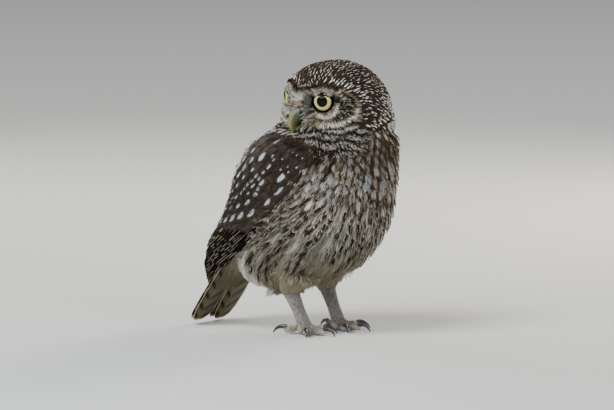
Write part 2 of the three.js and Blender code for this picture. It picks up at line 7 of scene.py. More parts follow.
import bpy
import numpy as np
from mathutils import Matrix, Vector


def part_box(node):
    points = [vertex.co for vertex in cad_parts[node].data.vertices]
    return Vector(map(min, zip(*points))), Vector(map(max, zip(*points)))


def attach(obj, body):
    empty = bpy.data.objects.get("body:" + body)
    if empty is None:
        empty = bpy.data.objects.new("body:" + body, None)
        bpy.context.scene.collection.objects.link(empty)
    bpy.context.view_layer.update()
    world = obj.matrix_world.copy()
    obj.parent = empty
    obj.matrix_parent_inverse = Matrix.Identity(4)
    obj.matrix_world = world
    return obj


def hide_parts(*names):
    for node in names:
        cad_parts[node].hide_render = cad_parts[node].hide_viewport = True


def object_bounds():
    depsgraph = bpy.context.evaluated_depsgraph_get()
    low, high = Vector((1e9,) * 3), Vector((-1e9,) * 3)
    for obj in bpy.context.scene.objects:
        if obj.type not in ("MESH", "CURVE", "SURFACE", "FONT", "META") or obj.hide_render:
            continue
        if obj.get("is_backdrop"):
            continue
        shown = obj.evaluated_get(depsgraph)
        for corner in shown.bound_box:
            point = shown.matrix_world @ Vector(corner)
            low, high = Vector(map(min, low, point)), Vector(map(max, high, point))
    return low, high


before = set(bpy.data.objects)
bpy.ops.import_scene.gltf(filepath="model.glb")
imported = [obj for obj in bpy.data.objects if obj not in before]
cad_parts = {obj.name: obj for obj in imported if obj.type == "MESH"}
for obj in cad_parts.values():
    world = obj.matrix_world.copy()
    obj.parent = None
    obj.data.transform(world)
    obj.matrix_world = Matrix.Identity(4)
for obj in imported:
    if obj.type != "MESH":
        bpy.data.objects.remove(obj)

# The coat, skin, eyes, bill, legs and claws of a life-size little owl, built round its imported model.
# Shapes are worked out in millimetres with x to the owl's own left, y to its back and z up.

Array = np.ndarray
Points = Sequence[Sequence[float]]
Shape = tuple[Array, list[Array]]  # points, and faces in groups of equal corners
LOG = logging.getLogger("owl")
BODY = "root"
MM = 0.001
SKY = 0.42  # how bright the room round the owl is
SKY_COLOUR = (0.80, 0.81, 0.82, 1)
FLOOR_PLAY = 0.05  # how far above the floor the lowest points stay
MAP_EDGE, MAP_SPAN = 0.02, 0.95  # the stretch of the bake map that the coat's places take up
PATCH, CAP, HAIR = 0.003, 0.0012, 0.0014  # the sizes there of a feather, of its cut ends and of a bristle
GOLDEN = math.pi * (1 + math.sqrt(5))

# Height, forward, half depth, half width of the body's level sections
BODY_SECTIONS = [
    [28.5, -29, 12, 10], [32, -28, 23, 21], [38, -25, 34, 30], [46, -20, 45, 36.5],
    [60, -14, 53, 41.5], [76, -7.5, 55.5, 43.5], [90, -3, 55, 43.5], [105, 0.5, 53.5, 43.5],
    [120, 3, 51, 42.5], [128, 5.5, 49.5, 39], [136, 11.5, 42, 34], [146, 13, 35.5, 31],
    [158, 13, 33, 30],
]
# The same for the surface that the folded wings lie on
WING_SECTIONS = [
    [25, -58, 32, 24], [33, -53, 36.5, 27], [43, -43, 45.5, 33], [54, -31, 54.5, 39],
    [64, -20, 58.5, 43.5], [75, -11, 59.5, 46.5], [90, -4.5, 57, 47.5], [105, -1, 54.5, 47],
    [120, 2.5, 51.5, 45.5], [128, 5.0, 49, 41.5], [135, 10, 42.5, 36], [142, 12.5, 37, 32.3],
    [156, 13, 34.5, 31.2],
]
# Height, and the turn from straight ahead in degrees of a wing's front edge and back edge
WING_EDGES = [
    [25, 162, 172], [34, 152, 171], [54, 126, 170], [68, 110, 168], [93, 90, 162],
    [121, 69, 150], [132, 65, 145],
]
# The same for the border between the folded wings' feathers and the coat
COAT_EDGES = [
    [25, 150, 172], [34, 130, 171], [41, 118, 170.7], [48, 107, 170.4], [57, 102.4, 169.7], [65, 98, 168.6],
    [72, 97, 167.3], [82, 91.5, 164.8], [93, 88, 162], [121, 69, 150], [132, 65, 145],
]
WING_TOP = 130.0
WING_DROP = 100.0


def srgb(red: float, green: float, blue: float) -> Array:
    """A colour of 0 to 255 as linear light."""
    share = np.array([red, green, blue], float) / 255
    return np.where(share < 0.04045, share / 12.92, ((share + 0.055) / 1.055) ** 2.4)


def unit(way: Array) -> Array:
    """Ways made one long."""
    return way / np.maximum(np.linalg.norm(way, axis=-1, keepdims=True), 1e-12)


def mix(a: Array | float, b: Array | float, share: Array | float) -> Array:
    """From a at 0 to b at 1."""
    return a + (b - a) * share


def ramp(x: Array, low: float | Array, high: float | Array) -> Array:
    """A smooth rise from 0 at low to 1 at high."""
    t = np.clip((x - low) / (np.asarray(high) - low), 0, 1)
    return t * t * (3 - 2 * t)


def swap(rows: Array, chosen: Array, new: Array) -> Array:
    """The rows, with the chosen ones replaced."""
    return np.where(chosen[:, None], new, rows)


def around(sides: int) -> Array:
    """Turns spread evenly round a circle."""
    return np.linspace(0, 2 * np.pi, sides, endpoint=False)


def spokes(turn: Array) -> Array:
    """The flat ways of turns."""
    return np.stack([np.cos(turn), np.sin(turn)], -1)


def pairs(first: Array, second: Array) -> Array:
    """Each of the first numbers with each of the second ones."""
    return np.stack(np.broadcast_arrays(first[:, None], second[None]), -1)


def along_surface(way: Array, out: Array) -> Array:
    """A way without its part along the way out."""
    return way - out * (way * out).sum(-1, keepdims=True)


def bell(distance: Array, spread: float) -> Array:
    """A bump that is 1 at no distance."""
    return np.exp(-((distance / spread) ** 2))


def here(left: float, forward: float, up: float) -> Array:
    """A point from the owl's own left, forward and up."""
    return np.array([left, -forward, up], float)


class Table:
    """A smooth function from a key to a row of values."""

    def __init__(self, rows: Points) -> None:
        """Takes rows of a key and its values, in the keys' order."""
        data = np.array(rows, float)
        self.keys, self.values = data[:, 0], data[:, 1:]
        step = np.diff(self.values, axis=0) / np.diff(self.keys)[:, None]
        self.slopes = np.zeros_like(self.values)
        if len(data) > 2:
            self.slopes[1:-1] = (self.values[2:] - self.values[:-2]) / (self.keys[2:] - self.keys[:-2])[:, None]
        self.slopes[0] = 1.5 * step[0] - 0.5 * self.slopes[1] if len(data) > 2 else step[0]
        self.slopes[-1] = 1.5 * step[-1] - 0.5 * self.slopes[-2] if len(data) > 2 else step[0]

    def __call__(self, key: Array | float) -> Array:
        """The values at each key, with one more axis than the keys."""
        key = np.clip(np.asarray(key, float), self.keys[0], self.keys[-1])
        at = np.clip(np.searchsorted(self.keys, key, side="right") - 1, 0, len(self.keys) - 2)
        width = (self.keys[at + 1] - self.keys[at])[..., None]
        t = (key - self.keys[at])[..., None] / width
        return (
            (2 * t**3 - 3 * t**2 + 1) * self.values[at]
            + (t**3 - 2 * t**2 + t) * width * self.slopes[at]
            + (3 * t**2 - 2 * t**3) * self.values[at + 1]
            + (t**3 - t**2) * width * self.slopes[at + 1]
        )


def route(points: Points) -> Table:
    """A smooth line through points, by its share from 0 to 1."""
    return Table([[k / (len(points) - 1), *p] for k, p in enumerate(points)])


def to_line(point: Array, line: Points) -> Array:
    """The distance of each flat point from a bent line."""
    ends = np.array(line, float)
    best = np.full(point.shape[:-1], 1e9)
    for a, b in zip(ends[:-1], ends[1:]):
        t = np.clip(((point - a) @ (b - a)) / ((b - a) @ (b - a)), 0, 1)
        best = np.minimum(best, np.linalg.norm(point - a - t[..., None] * (b - a), axis=-1))
    return best


class Form:
    """A surface that feathers grow on. A place on it is a row of numbers."""

    nudge = (0.01, 0.3)
    outward = 1.0

    def point(self, place: Array) -> Array:
        """The point at each place, in millimetres."""
        raise NotImplementedError

    def slopes(self, place: Array) -> tuple[Array, Array]:
        """How the point moves with each of the place's two numbers."""
        first, second = np.array([self.nudge[0], 0]), np.array([0, self.nudge[1]])
        return (
            (self.point(place + first) - self.point(place - first)) / (2 * self.nudge[0]),
            (self.point(place + second) - self.point(place - second)) / (2 * self.nudge[1]),
        )

    def normal(self, place: Array) -> Array:
        """The way out of the surface at each place."""
        return unit(np.cross(*self.slopes(place))) * self.outward

    def steer(self, place: Array, way: Array) -> Array:
        """The change of place for one millimetre in a way along the surface."""
        a, b = self.slopes(place)
        aa, ab, bb = (a * a).sum(-1), (a * b).sum(-1), (b * b).sum(-1)
        wa, wb = (way * a).sum(-1), (way * b).sum(-1)
        whole = np.maximum(aa * bb - ab**2, 1e-9)
        return np.stack([(wa * bb - wb * ab) / whole, (wb * aa - wa * ab) / whole], -1)


class RingForm(Form):
    """A body of level oval sections. A place is a turn from straight ahead and a height."""

    def __init__(self, rows: Points, side: float = 1.0) -> None:
        """Takes rows of height, forward, half depth and half width."""
        self.table, self.side = Table(rows), side

    def point(self, place: Array) -> Array:
        """The point at each turn and height."""
        forward, depth, width = np.moveaxis(self.table(place[..., 1]), -1, 0)
        turn = place[..., 0]
        return np.stack([self.side * width * np.sin(turn), -(forward + depth * np.cos(turn)), place[..., 1]], -1)

    def place_of(self, point: Array) -> Array:
        """The turn and height of points near the surface."""
        forward, depth, width = np.moveaxis(self.table(point[..., 2]), -1, 0)
        return np.stack([np.arctan2(point[..., 0] / width, (-point[..., 1] - forward) / depth), point[..., 2]], -1)

    def reach(self, point: Array) -> Array:
        """How far out points are, as a share of the section at their height."""
        forward, depth, width = np.moveaxis(self.table(point[..., 2]), -1, 0)
        return np.hypot(point[..., 0] / width, (-point[..., 1] - forward) / depth)


@dataclass(frozen=True)
class EyeSize:
    """The eye in the head's frame: place, ball, iris, pupil, how far it looks aside, lids and bare ring."""

    side: float = 18.5
    forward: float = 28.3
    up: float = 11.6
    radius: float = 8.5
    opening: float = 6.15
    seat: float = 6.7
    iris: float = 6.0
    pupil: float = 3.7
    splay: float = 32.0
    node_splay: float = 24.0
    gaze: float = 0.13
    upper_lid: float = 3.7
    flat: float = 0.8
    raised: float = 1.5
    edge: float = 8.0
    clear: float = 7.2


EYE = EyeSize()


class HeadForm(Form):
    """The head, with the face's forms. A place is a way from its middle: left, forward and up."""

    centre = here(0, 13, 146)
    turn, nod, tilt = (math.radians(x) for x in (105.0, 3.0, 2.5))
    width, height, nape, face = 36.5, 36.0, 34.5, 30.5

    def __init__(self) -> None:
        """Works out how the head is turned."""
        c, s = math.cos(-self.turn), math.sin(-self.turn)
        about_z = np.array([[c, -s, 0], [s, c, 0], [0, 0, 1]])
        c, s = math.cos(self.nod), math.sin(self.nod)
        about_x = np.array([[1, 0, 0], [0, c, -s], [0, s, c]])
        c, s = math.cos(self.tilt), math.sin(self.tilt)
        about_y = np.array([[c, 0, s], [0, 1, 0], [-s, 0, c]])
        self.matrix = about_z @ about_x @ about_y

    def way(self, own: Array) -> Array:
        """A way in the head's frame, as a way in the owl's."""
        own = np.asarray(own, float)
        return (own * [1, -1, 1]) @ self.matrix.T

    def out(self, own: Array) -> Array:
        """A point in the head's frame, as a point in the owl's."""
        return self.way(own) + self.centre

    def own(self, point: Array) -> Array:
        """A point in the owl's frame, as a point in the head's."""
        return ((point - self.centre) @ self.matrix) * [1, -1, 1]

    @staticmethod
    def relief(across: Array, up: Array) -> Array:
        """How far the face stands out at each place across and up on it."""
        side = np.abs(across)
        brow = 19.5 + 0.1 * side - 5 * bell(side, 5)
        rim = np.hypot(side - 14, up - 6)
        return (
            -1.2 * bell(side - 18.5, 9) * bell(up - 10.6, 8.5)
            + 2.2 * bell(up - brow, 4.6) * (1 - ramp(side, 27, 35))
            + 1.8 * bell(rim - 22, 3) * (1 - ramp(up, 8, 20))
            + 3.2 * bell(side, 7) * bell(up - 3, 11)
            + 1.6 * bell(side, 12) * bell(up + 17, 5)
        )

    def radius(self, q: Array) -> Array:
        """The head's size in each way."""
        front = q[..., 1]
        out = np.maximum(np.hypot(q[..., 0], q[..., 2]), 1e-9)
        reach = np.where(front > 0, self.face, self.nape)
        edge = 1 / (np.hypot(q[..., 2] / out / self.height, q[..., 0] / out / self.width) + 1e-9)
        power = mix(2.1, 3.0, ramp(front, -0.3, 0.3))
        base = ((np.abs(front) / reach) ** power + (out / edge) ** power) ** (-1 / power)
        return base + self.relief(base * q[..., 0], base * q[..., 2]) * ramp(front, 0.15, 0.5)

    def point(self, place: Array) -> Array:
        """The point in each way."""
        q = unit(place)
        return self.out(q * self.radius(q)[..., None])

    def normal(self, place: Array) -> Array:
        """The way out of the head."""
        q = unit(place)
        side = unit(np.cross(q, np.where(np.abs(q[..., 2:]) < 0.9, [0.0, 0.0, 1.0], [1.0, 0.0, 0.0])))
        other = np.cross(q, side)
        a = self.point(q + 0.02 * side) - self.point(q - 0.02 * side)
        b = self.point(q + 0.02 * other) - self.point(q - 0.02 * other)
        found = unit(np.cross(a, b))
        return found * np.sign((found * self.way(q)).sum(-1, keepdims=True))

    def steer(self, place: Array, way: Array) -> Array:
        """The change of place for one millimetre in a way along the head."""
        q = unit(place)
        return along_surface((way @ self.matrix) * [1, -1, 1], q) / self.radius(q)[..., None]

    def reach(self, point: Array) -> Array:
        """How far out points are, as a share of the head's size in their way."""
        own = self.own(point)
        return np.linalg.norm(own, axis=-1) / self.radius(unit(own))


class WingForm(Form):
    """A folded wing's surface. A place is how far down from the shoulder, and over from back edge to front edge."""

    nudge = (0.006, 0.02)

    def __init__(self, side: float) -> None:
        """Takes 1 for the left wing and -1 for the right one."""
        self.ring, self.edges = RingForm(WING_SECTIONS, side), Table(WING_EDGES)
        self.outward = side

    def turns(self, place: Array) -> Array:
        """The turn and height of each place."""
        height = WING_TOP - WING_DROP * place[..., 0]
        front, back = np.moveaxis(np.radians(self.edges(height)), -1, 0)
        return np.stack([mix(back, front, place[..., 1]), height], -1)

    def point(self, place: Array) -> Array:
        """The point at each place on the wing."""
        return self.ring.point(self.turns(place))

    def normal(self, place: Array) -> Array:
        """The way out of the wing."""
        return unit(np.cross(*self.ring.slopes(self.turns(place)))) * self.outward


class TailForm(Form):
    """The tail's sloping plane. A place is along it and across it, in millimetres."""

    nudge = (1.0, 1.0)
    slope = math.radians(56.0)
    root = here(0, -60.5, 52)

    def __init__(self, face: float) -> None:
        """Takes 1 for the upper face and -1 for the under face."""
        self.along = here(0, -math.cos(self.slope), -math.sin(self.slope))
        self.top = here(0, -math.sin(self.slope), math.cos(self.slope))
        self.face = face

    def point(self, place: Array) -> Array:
        """The point at each place on the tail."""
        return self.root + place[..., :1] * self.along + place[..., 1:] * np.array([1.0, 0, 0])

    def normal(self, place: Array) -> Array:
        """The way out of this face."""
        return np.broadcast_to(self.top * self.face, place.shape[:-1] + (3,))


class LimbForm(Form):
    """A round limb along a line. A place is a share of the line and a turn round it."""

    nudge = (0.01, 0.05)

    def __init__(self, line: Table, size: Table, across: Array) -> None:
        """Takes the line, the half width and half height along it, and the way of the width."""
        self.line, self.size, self.across = line, size, unit(np.asarray(across, float))

    def frame(self, share: Array) -> tuple[Array, Array, Array]:
        """The line's way, and the ways of the width and height."""
        share = np.clip(share, 0.01, 0.99)
        along = unit(self.line(share + 0.01) - self.line(share - 0.01))
        across = unit(self.across - along * (along @ self.across)[..., None])
        return along, across, np.cross(along, across)

    def point(self, place: Array) -> Array:
        """The point at each share and turn."""
        _, across, over = self.frame(place[..., 0])
        half = self.size(place[..., 0])
        wide = half[..., :1] * np.cos(place[..., 1:2]) * across
        return self.line(place[..., 0]) + wide + half[..., -1:] * np.sin(place[..., 1:2]) * over

    def normal(self, place: Array) -> Array:
        """The way out of the limb."""
        found = super().normal(place)
        out = self.point(place) - self.line(place[..., 0])
        return found * np.sign((found * out).sum(-1, keepdims=True) + 1e-9)


@dataclass(frozen=True)
class Cut:
    """The outline and section of a feather: shares of its length, its width there, and corners across and up."""

    shares: tuple[float, ...]
    widths: tuple[float, ...]
    section: tuple[tuple[float, float], ...]


BARB = Cut((0, 0.4, 0.75, 1), (0.6, 1, 0.7, 0.08), ((1, 0), (0, 1), (-1, 0)))
SHORT_BARB = Cut((0, 0.5, 1), (0.7, 1, 0.1), ((1, 0), (0, 1), (-1, 0)))
PLUME = Cut((0, 0.35, 0.65, 0.88, 1), (0.5, 0.95, 1, 0.72, 0.2), ((1, 0), (0, 1), (-1, 0), (0, 0)))
QUILL = Cut(
    (0, 0.25, 0.5, 0.7, 0.85, 0.94, 0.985, 1),
    (0.5, 0.86, 1, 1, 0.92, 0.74, 0.44, 0.16),
    ((1, 0.1), (0.45, 1), (0, 1.25), (-0.45, 1), (-1, 0.1), (0, -0.2)),
)


@dataclass
class Look:
    """What colours each feather: ground, dye, the mark's middle, half length and width, its side, and its halo."""

    ground: Array
    dye: Array
    mark: Array
    side: Array
    halo: Array

    @classmethod
    def marked(cls, ground: Array, dye: Array, mark: Array, side: float = 0.0, halo: float = 0.0) -> "Look":
        """Feathers with marks, all to the same side and with the same warm edge."""
        count = len(ground)
        return cls(ground, dye, mark, np.full(count, side), np.full(count, halo))

    @classmethod
    def plain(cls, ground: Array) -> "Look":
        """Feathers of one colour, with no mark."""
        return cls.marked(ground, ground, np.tile([-9.0, 0.1, 0.1], (len(ground), 1)))

    def pick(self, chosen: Array) -> "Look":
        """The looks of some of the feathers."""
        return Look(*(x[chosen] for x in (self.ground, self.dye, self.mark, self.side, self.halo)))

    def at(self, across: Array, along: Array, rng: np.random.Generator) -> Array:
        """The colour at places on each feather: one row of places for each, with a little chance in each row."""
        across = across + rng.normal(0, 0.1, (len(across), 1))
        along = along + rng.normal(0, 0.06, (len(along), 1))
        middle, long, wide = (self.mark[:, k, None] for k in range(3))
        side = self.side[:, None]
        off = np.where(side > 0, np.abs(np.abs(across) - side), np.abs(across))
        far = np.hypot(off / wide, (along - middle) / long)
        colour = mix(self.ground[:, None], self.dye[:, None], (1 - ramp(far, 0.7, 1.25))[..., None])
        return mix(colour, Colours.rust, (bell(far - 1.1, 0.28) * self.halo[:, None])[..., None])


@dataclass
class Batch:
    """Feathers of one cut, as rings of points, with their looks."""

    rings: Array
    tint: Array
    look: Look
    vane: Array
    home: Array

    @classmethod
    def of(
        cls, rings: Array, cut: Cut, look: Look, home: Array, seeds: Array, colour: Array | None = None
    ) -> "Batch":
        """Feathers with all that their finish reads.

        Args:
            rings, look, home: as they are kept. cut: their outline and section.
            seeds: a number of chance for each. colour: the colour of each ring, where it isn't the look's ground.

        Returns:
            The feathers.
        """
        vane = np.zeros(rings.shape)
        vane[..., 0], vane[..., 1] = np.array(cut.section)[:, 0], np.array(cut.shares)[:, None]
        vane[..., 2] = np.reshape(seeds, (-1, 1, 1))
        tint = look.ground[:, None, None] if colour is None else colour[:, :, None]
        return cls(rings, np.broadcast_to(tint, rings.shape), look, vane, home)

    def pick(self, chosen: Array) -> "Batch":
        """Some of the feathers."""
        rows = (self.rings[chosen], self.tint[chosen], self.look.pick(chosen), self.vane[chosen], self.home[chosen])
        return Batch(*rows)


@dataclass
class Lot:
    """Feathers still to be grown: places, ways, sizes, heights at root and tip, places on the map, and looks."""

    home: Array
    way: Array
    length: Array
    width: Array
    low: Array
    high: Array
    bake: Array
    look: Look

    def pick(self, chosen: Array) -> "Lot":
        """Some of the feathers."""
        rows = (self.home, self.way, self.length, self.width, self.low, self.high, self.bake)
        return Lot(*(x[chosen] for x in rows), self.look.pick(chosen))


def sweep(
    line: Array, out: Array, width: Array, cut: Cut, thick: float, bow: float = 0.0, lean: float = 0.0
) -> Array:
    """Rings of a feather's section along lines.

    Args:
        line: points of each line. out: the way up at each of them.
        width: each feather's full width. cut: its outline and section.
        thick: its thickness. bow: how far its edges bend down. lean: how far one edge stands over the other.

    Returns:
        Points by feather, ring and corner.
    """
    along = unit(np.gradient(line, axis=1))
    across = unit(np.cross(out, along))
    over = np.cross(along, across)
    corner, widths = np.array(cut.section), np.array(cut.widths)
    half = (width[:, None] / 2 * widths)[..., None]
    rise = thick * corner[:, 1] - bow * half * corner[:, 0] ** 2
    rise = rise + lean * corner[:, 0] / 2 * widths[:, None]
    return (
        line[:, :, None]
        + across[:, :, None] * (half * corner[:, 0])[..., None]
        + over[:, :, None] * rise[..., None]
    )


def run(start: Array, way: Array, length: Array, cut: Cut) -> Array:
    """Points or places from starts along ways, one for each ring of a feather."""
    return start[:, None] + way[:, None] * (length[:, None] * np.array(cut.shares))[..., None]


def laid(form: Form, place: Array, high: Array, width: Array, cut: Cut, thick: float, *bent: float) -> Array:
    """Rings of feathers along rows of places on a form, at heights over it."""
    out = form.normal(place)
    return sweep(form.point(place) + out * high[..., None], out, width, cut, thick, *bent)


def strands(
    point: Array, way: Array, length: Array, out: Array, rise: Array, width: Array, cut: Cut = BARB,
    thick: float = 0.2,
) -> Array:
    """Rings of straight barbs.

    Args:
        point: their roots. way: how they lie. length: their lengths. out: the way up.
        rise: how high each ring stands. width: their widths. cut: their outline and section.
        thick: their thickness.

    Returns:
        Points by barb, ring and corner.
    """
    line = run(point, way, length, cut) + out[:, None] * rise[..., None]
    return sweep(line, np.broadcast_to(out[:, None], line.shape), width, cut, thick)


class Growth:
    """Grows feathers on a form."""

    def __init__(self, form: Form, seed: int) -> None:
        """Takes the form and the seed of all that is random here."""
        self.form, self.rng = form, np.random.default_rng(seed)

    def vanes(self, lot: Lot, cut: Cut = PLUME, thick: float = 0.35) -> Batch:
        """Whole feathers, with their edges bent down a little."""
        place = run(lot.home, self.form.steer(lot.home, lot.way), lot.length, cut)
        high = mix(lot.low[:, None], lot.high[:, None], np.array(cut.shares) ** 1.2)
        rings = laid(self.form, place, high, lot.width, cut, thick, 0.22)
        return Batch.of(rings, cut, lot.look, lot.bake, self.rng.random(len(place)))

    def barbs(
        self, lot: Lot, each: int, size: tuple[float, float], spread: float, raised: float,
        along: tuple[float, float] = (0.1, 0.82),
    ) -> Batch:
        """The loose barbs of feathers, which carry the colours of the places they lie at.

        Args:
            lot: the feathers. each: how many barbs a feather has. size: their length and width.
            spread: their turn outwards, in degrees. raised: how far their tips stand over the feather.
            along: where they start.

        Returns:
            The barbs.
        """
        rng, form = self.rng, self.form
        pick = np.repeat(np.arange(len(lot.home)), each)
        total = len(pick)
        start = mix(along[0], along[1], rng.random(total) ** 0.85)
        aside = (rng.random(total) * 2 - 1) * mix(0.75, 0.5, start)
        angle = np.radians(spread * aside * 1.3 + rng.normal(0, 7, total))
        long = size[0] * (0.7 + 0.6 * rng.random(total)) * mix(1.0, 0.8, start)
        shares = np.array(BARB.shares)
        s = start[:, None] + (long * np.cos(angle) / lot.length[pick])[:, None] * shares
        t = aside[:, None] + (long * np.sin(angle) * 2 / lot.width[pick])[:, None] * shares**1.3
        step = form.steer(lot.home, lot.way)
        side = form.steer(lot.home, unit(np.cross(form.normal(lot.home), lot.way)))
        place = (
            lot.home[pick][:, None]
            + step[pick][:, None] * (s * lot.length[pick][:, None])[..., None]
            + side[pick][:, None] * (t * lot.width[pick][:, None] / 2)[..., None]
        )
        up = mix(lot.low[pick, None], lot.high[pick, None], np.clip(s, 0, 1.15) ** 1.2)
        up = up - 0.25 + raised * (0.5 + rng.random((total, 1))) * shares**1.4
        rings = laid(form, place, up, size[1] * (0.75 + 0.5 * rng.random(total)), BARB, 0.28)
        colour = lot.look.pick(pick).at(t, s, rng) * (0.8 + 0.4 * rng.random((total, 1, 1)))
        return Batch.of(rings, BARB, Look.plain(colour[:, 0]), lot.bake[pick], rng.random(total), colour)


def add_node(
    tree: bpy.types.NodeTree, kind: str, inputs: dict | None = None, **settings: object
) -> bpy.types.Node:
    """A new node in a tree, with its settings and inputs: values, or other nodes' outputs."""
    made = tree.nodes.new(kind)
    for key, value in settings.items():
        setattr(made, key, value)
    for key, value in (inputs or {}).items():
        if isinstance(value, bpy.types.NodeSocket):
            tree.links.new(value, made.inputs[key])
        else:
            made.inputs[key].default_value = value
    return made


class Graph:
    """A material made of nodes round one shader."""

    def __init__(self, name: str, roughness: float, specular: float = 0.3, sheen: float = 0.0) -> None:
        """Starts the material with the constants of its shader."""
        self.material = bpy.data.materials.new(name)
        self.material.use_nodes = True
        self.tree = self.material.node_tree
        self.shader = self.tree.nodes["Principled BSDF"]
        self.shader.inputs["Roughness"].default_value = roughness
        self.shader.inputs["Specular IOR Level"].default_value = specular
        self.shader.inputs["Sheen Weight"].default_value = sheen
        self.shader.inputs["Sheen Roughness"].default_value = 0.5

    def node(self, kind: str, inputs: dict | None = None, **settings: object) -> bpy.types.Node:
        """A shader node of a kind."""
        return add_node(self.tree, "ShaderNode" + kind, inputs, **settings)

    def math(self, operation: str, a: object, b: object = 0.0, c: object = 0.0) -> bpy.types.NodeSocket:
        """One sum."""
        return self.node("Math", {0: a, 1: b, 2: c}, operation=operation).outputs[0]

    def times(self, *factors: object) -> bpy.types.NodeSocket:
        """The product of values."""
        found = factors[0]
        for factor in factors[1:]:
            found = self.math("MULTIPLY", found, factor)
        return found

    def scaled(self, value: object, factor: object, added: object) -> bpy.types.NodeSocket:
        """A value times a factor, with another added."""
        return self.math("MULTIPLY_ADD", value, factor, added)

    def ramp(
        self, value: object, low: float, high: float, first: float = 0.0, last: float = 1.0
    ) -> bpy.types.NodeSocket:
        """A smooth step of a value from low to high."""
        inputs = {"Value": value, "From Min": low, "From Max": high, "To Min": first, "To Max": last}
        return self.node("MapRange", inputs, interpolation_type="SMOOTHSTEP").outputs[0]

    def mix(self, share: object, a: object, b: object, blend: str = "MIX") -> bpy.types.NodeSocket:
        """Two colours mixed."""
        made = self.node("Mix", {0: share, 6: a, 7: b}, data_type="RGBA", blend_type=blend)
        return made.outputs[2]

    def noise(
        self, scale: float, detail: float = 2.0, place: object = None, rough: float = 0.5
    ) -> bpy.types.NodeSocket:
        """A cloud of noise on the object's own places, from 0 to 1."""
        where = self.node("TexCoord").outputs["Object"] if place is None else place
        inputs = {"Vector": where, "Scale": scale, "Detail": detail, "Roughness": rough}
        return self.node("TexNoise", inputs).outputs[0]

    def attribute(self, name: str, output: str) -> bpy.types.NodeSocket:
        """What the mesh says at each point."""
        return self.node("Attribute", attribute_name=name).outputs[output]

    def split(self, vector: object) -> list[bpy.types.NodeSocket]:
        """A vector's three numbers."""
        return list(self.node("SeparateXYZ", {0: vector}).outputs)

    def bump(self, height: object, strength: float, distance: float) -> None:
        """Gives the shader a bump."""
        made = self.node("Bump", {"Height": height, "Strength": strength, "Distance": distance})
        self.tree.links.new(made.outputs[0], self.shader.inputs["Normal"])

    def colour(self, socket: bpy.types.NodeSocket) -> None:
        """Gives the shader its colour."""
        self.tree.links.new(socket, self.shader.inputs["Base Color"])

    def shaded(self, base: object, shade: object) -> None:
        """Gives the shader a colour times a shade."""
        tone = self.node("CombineColor", {0: shade, 1: shade, 2: shade}).outputs[0]
        self.colour(self.mix(1.0, base, tone, "MULTIPLY"))


class Pattern(Enum):
    """How the marks lie on a feather."""

    SPOTS = "spots"
    BARS = "bars"


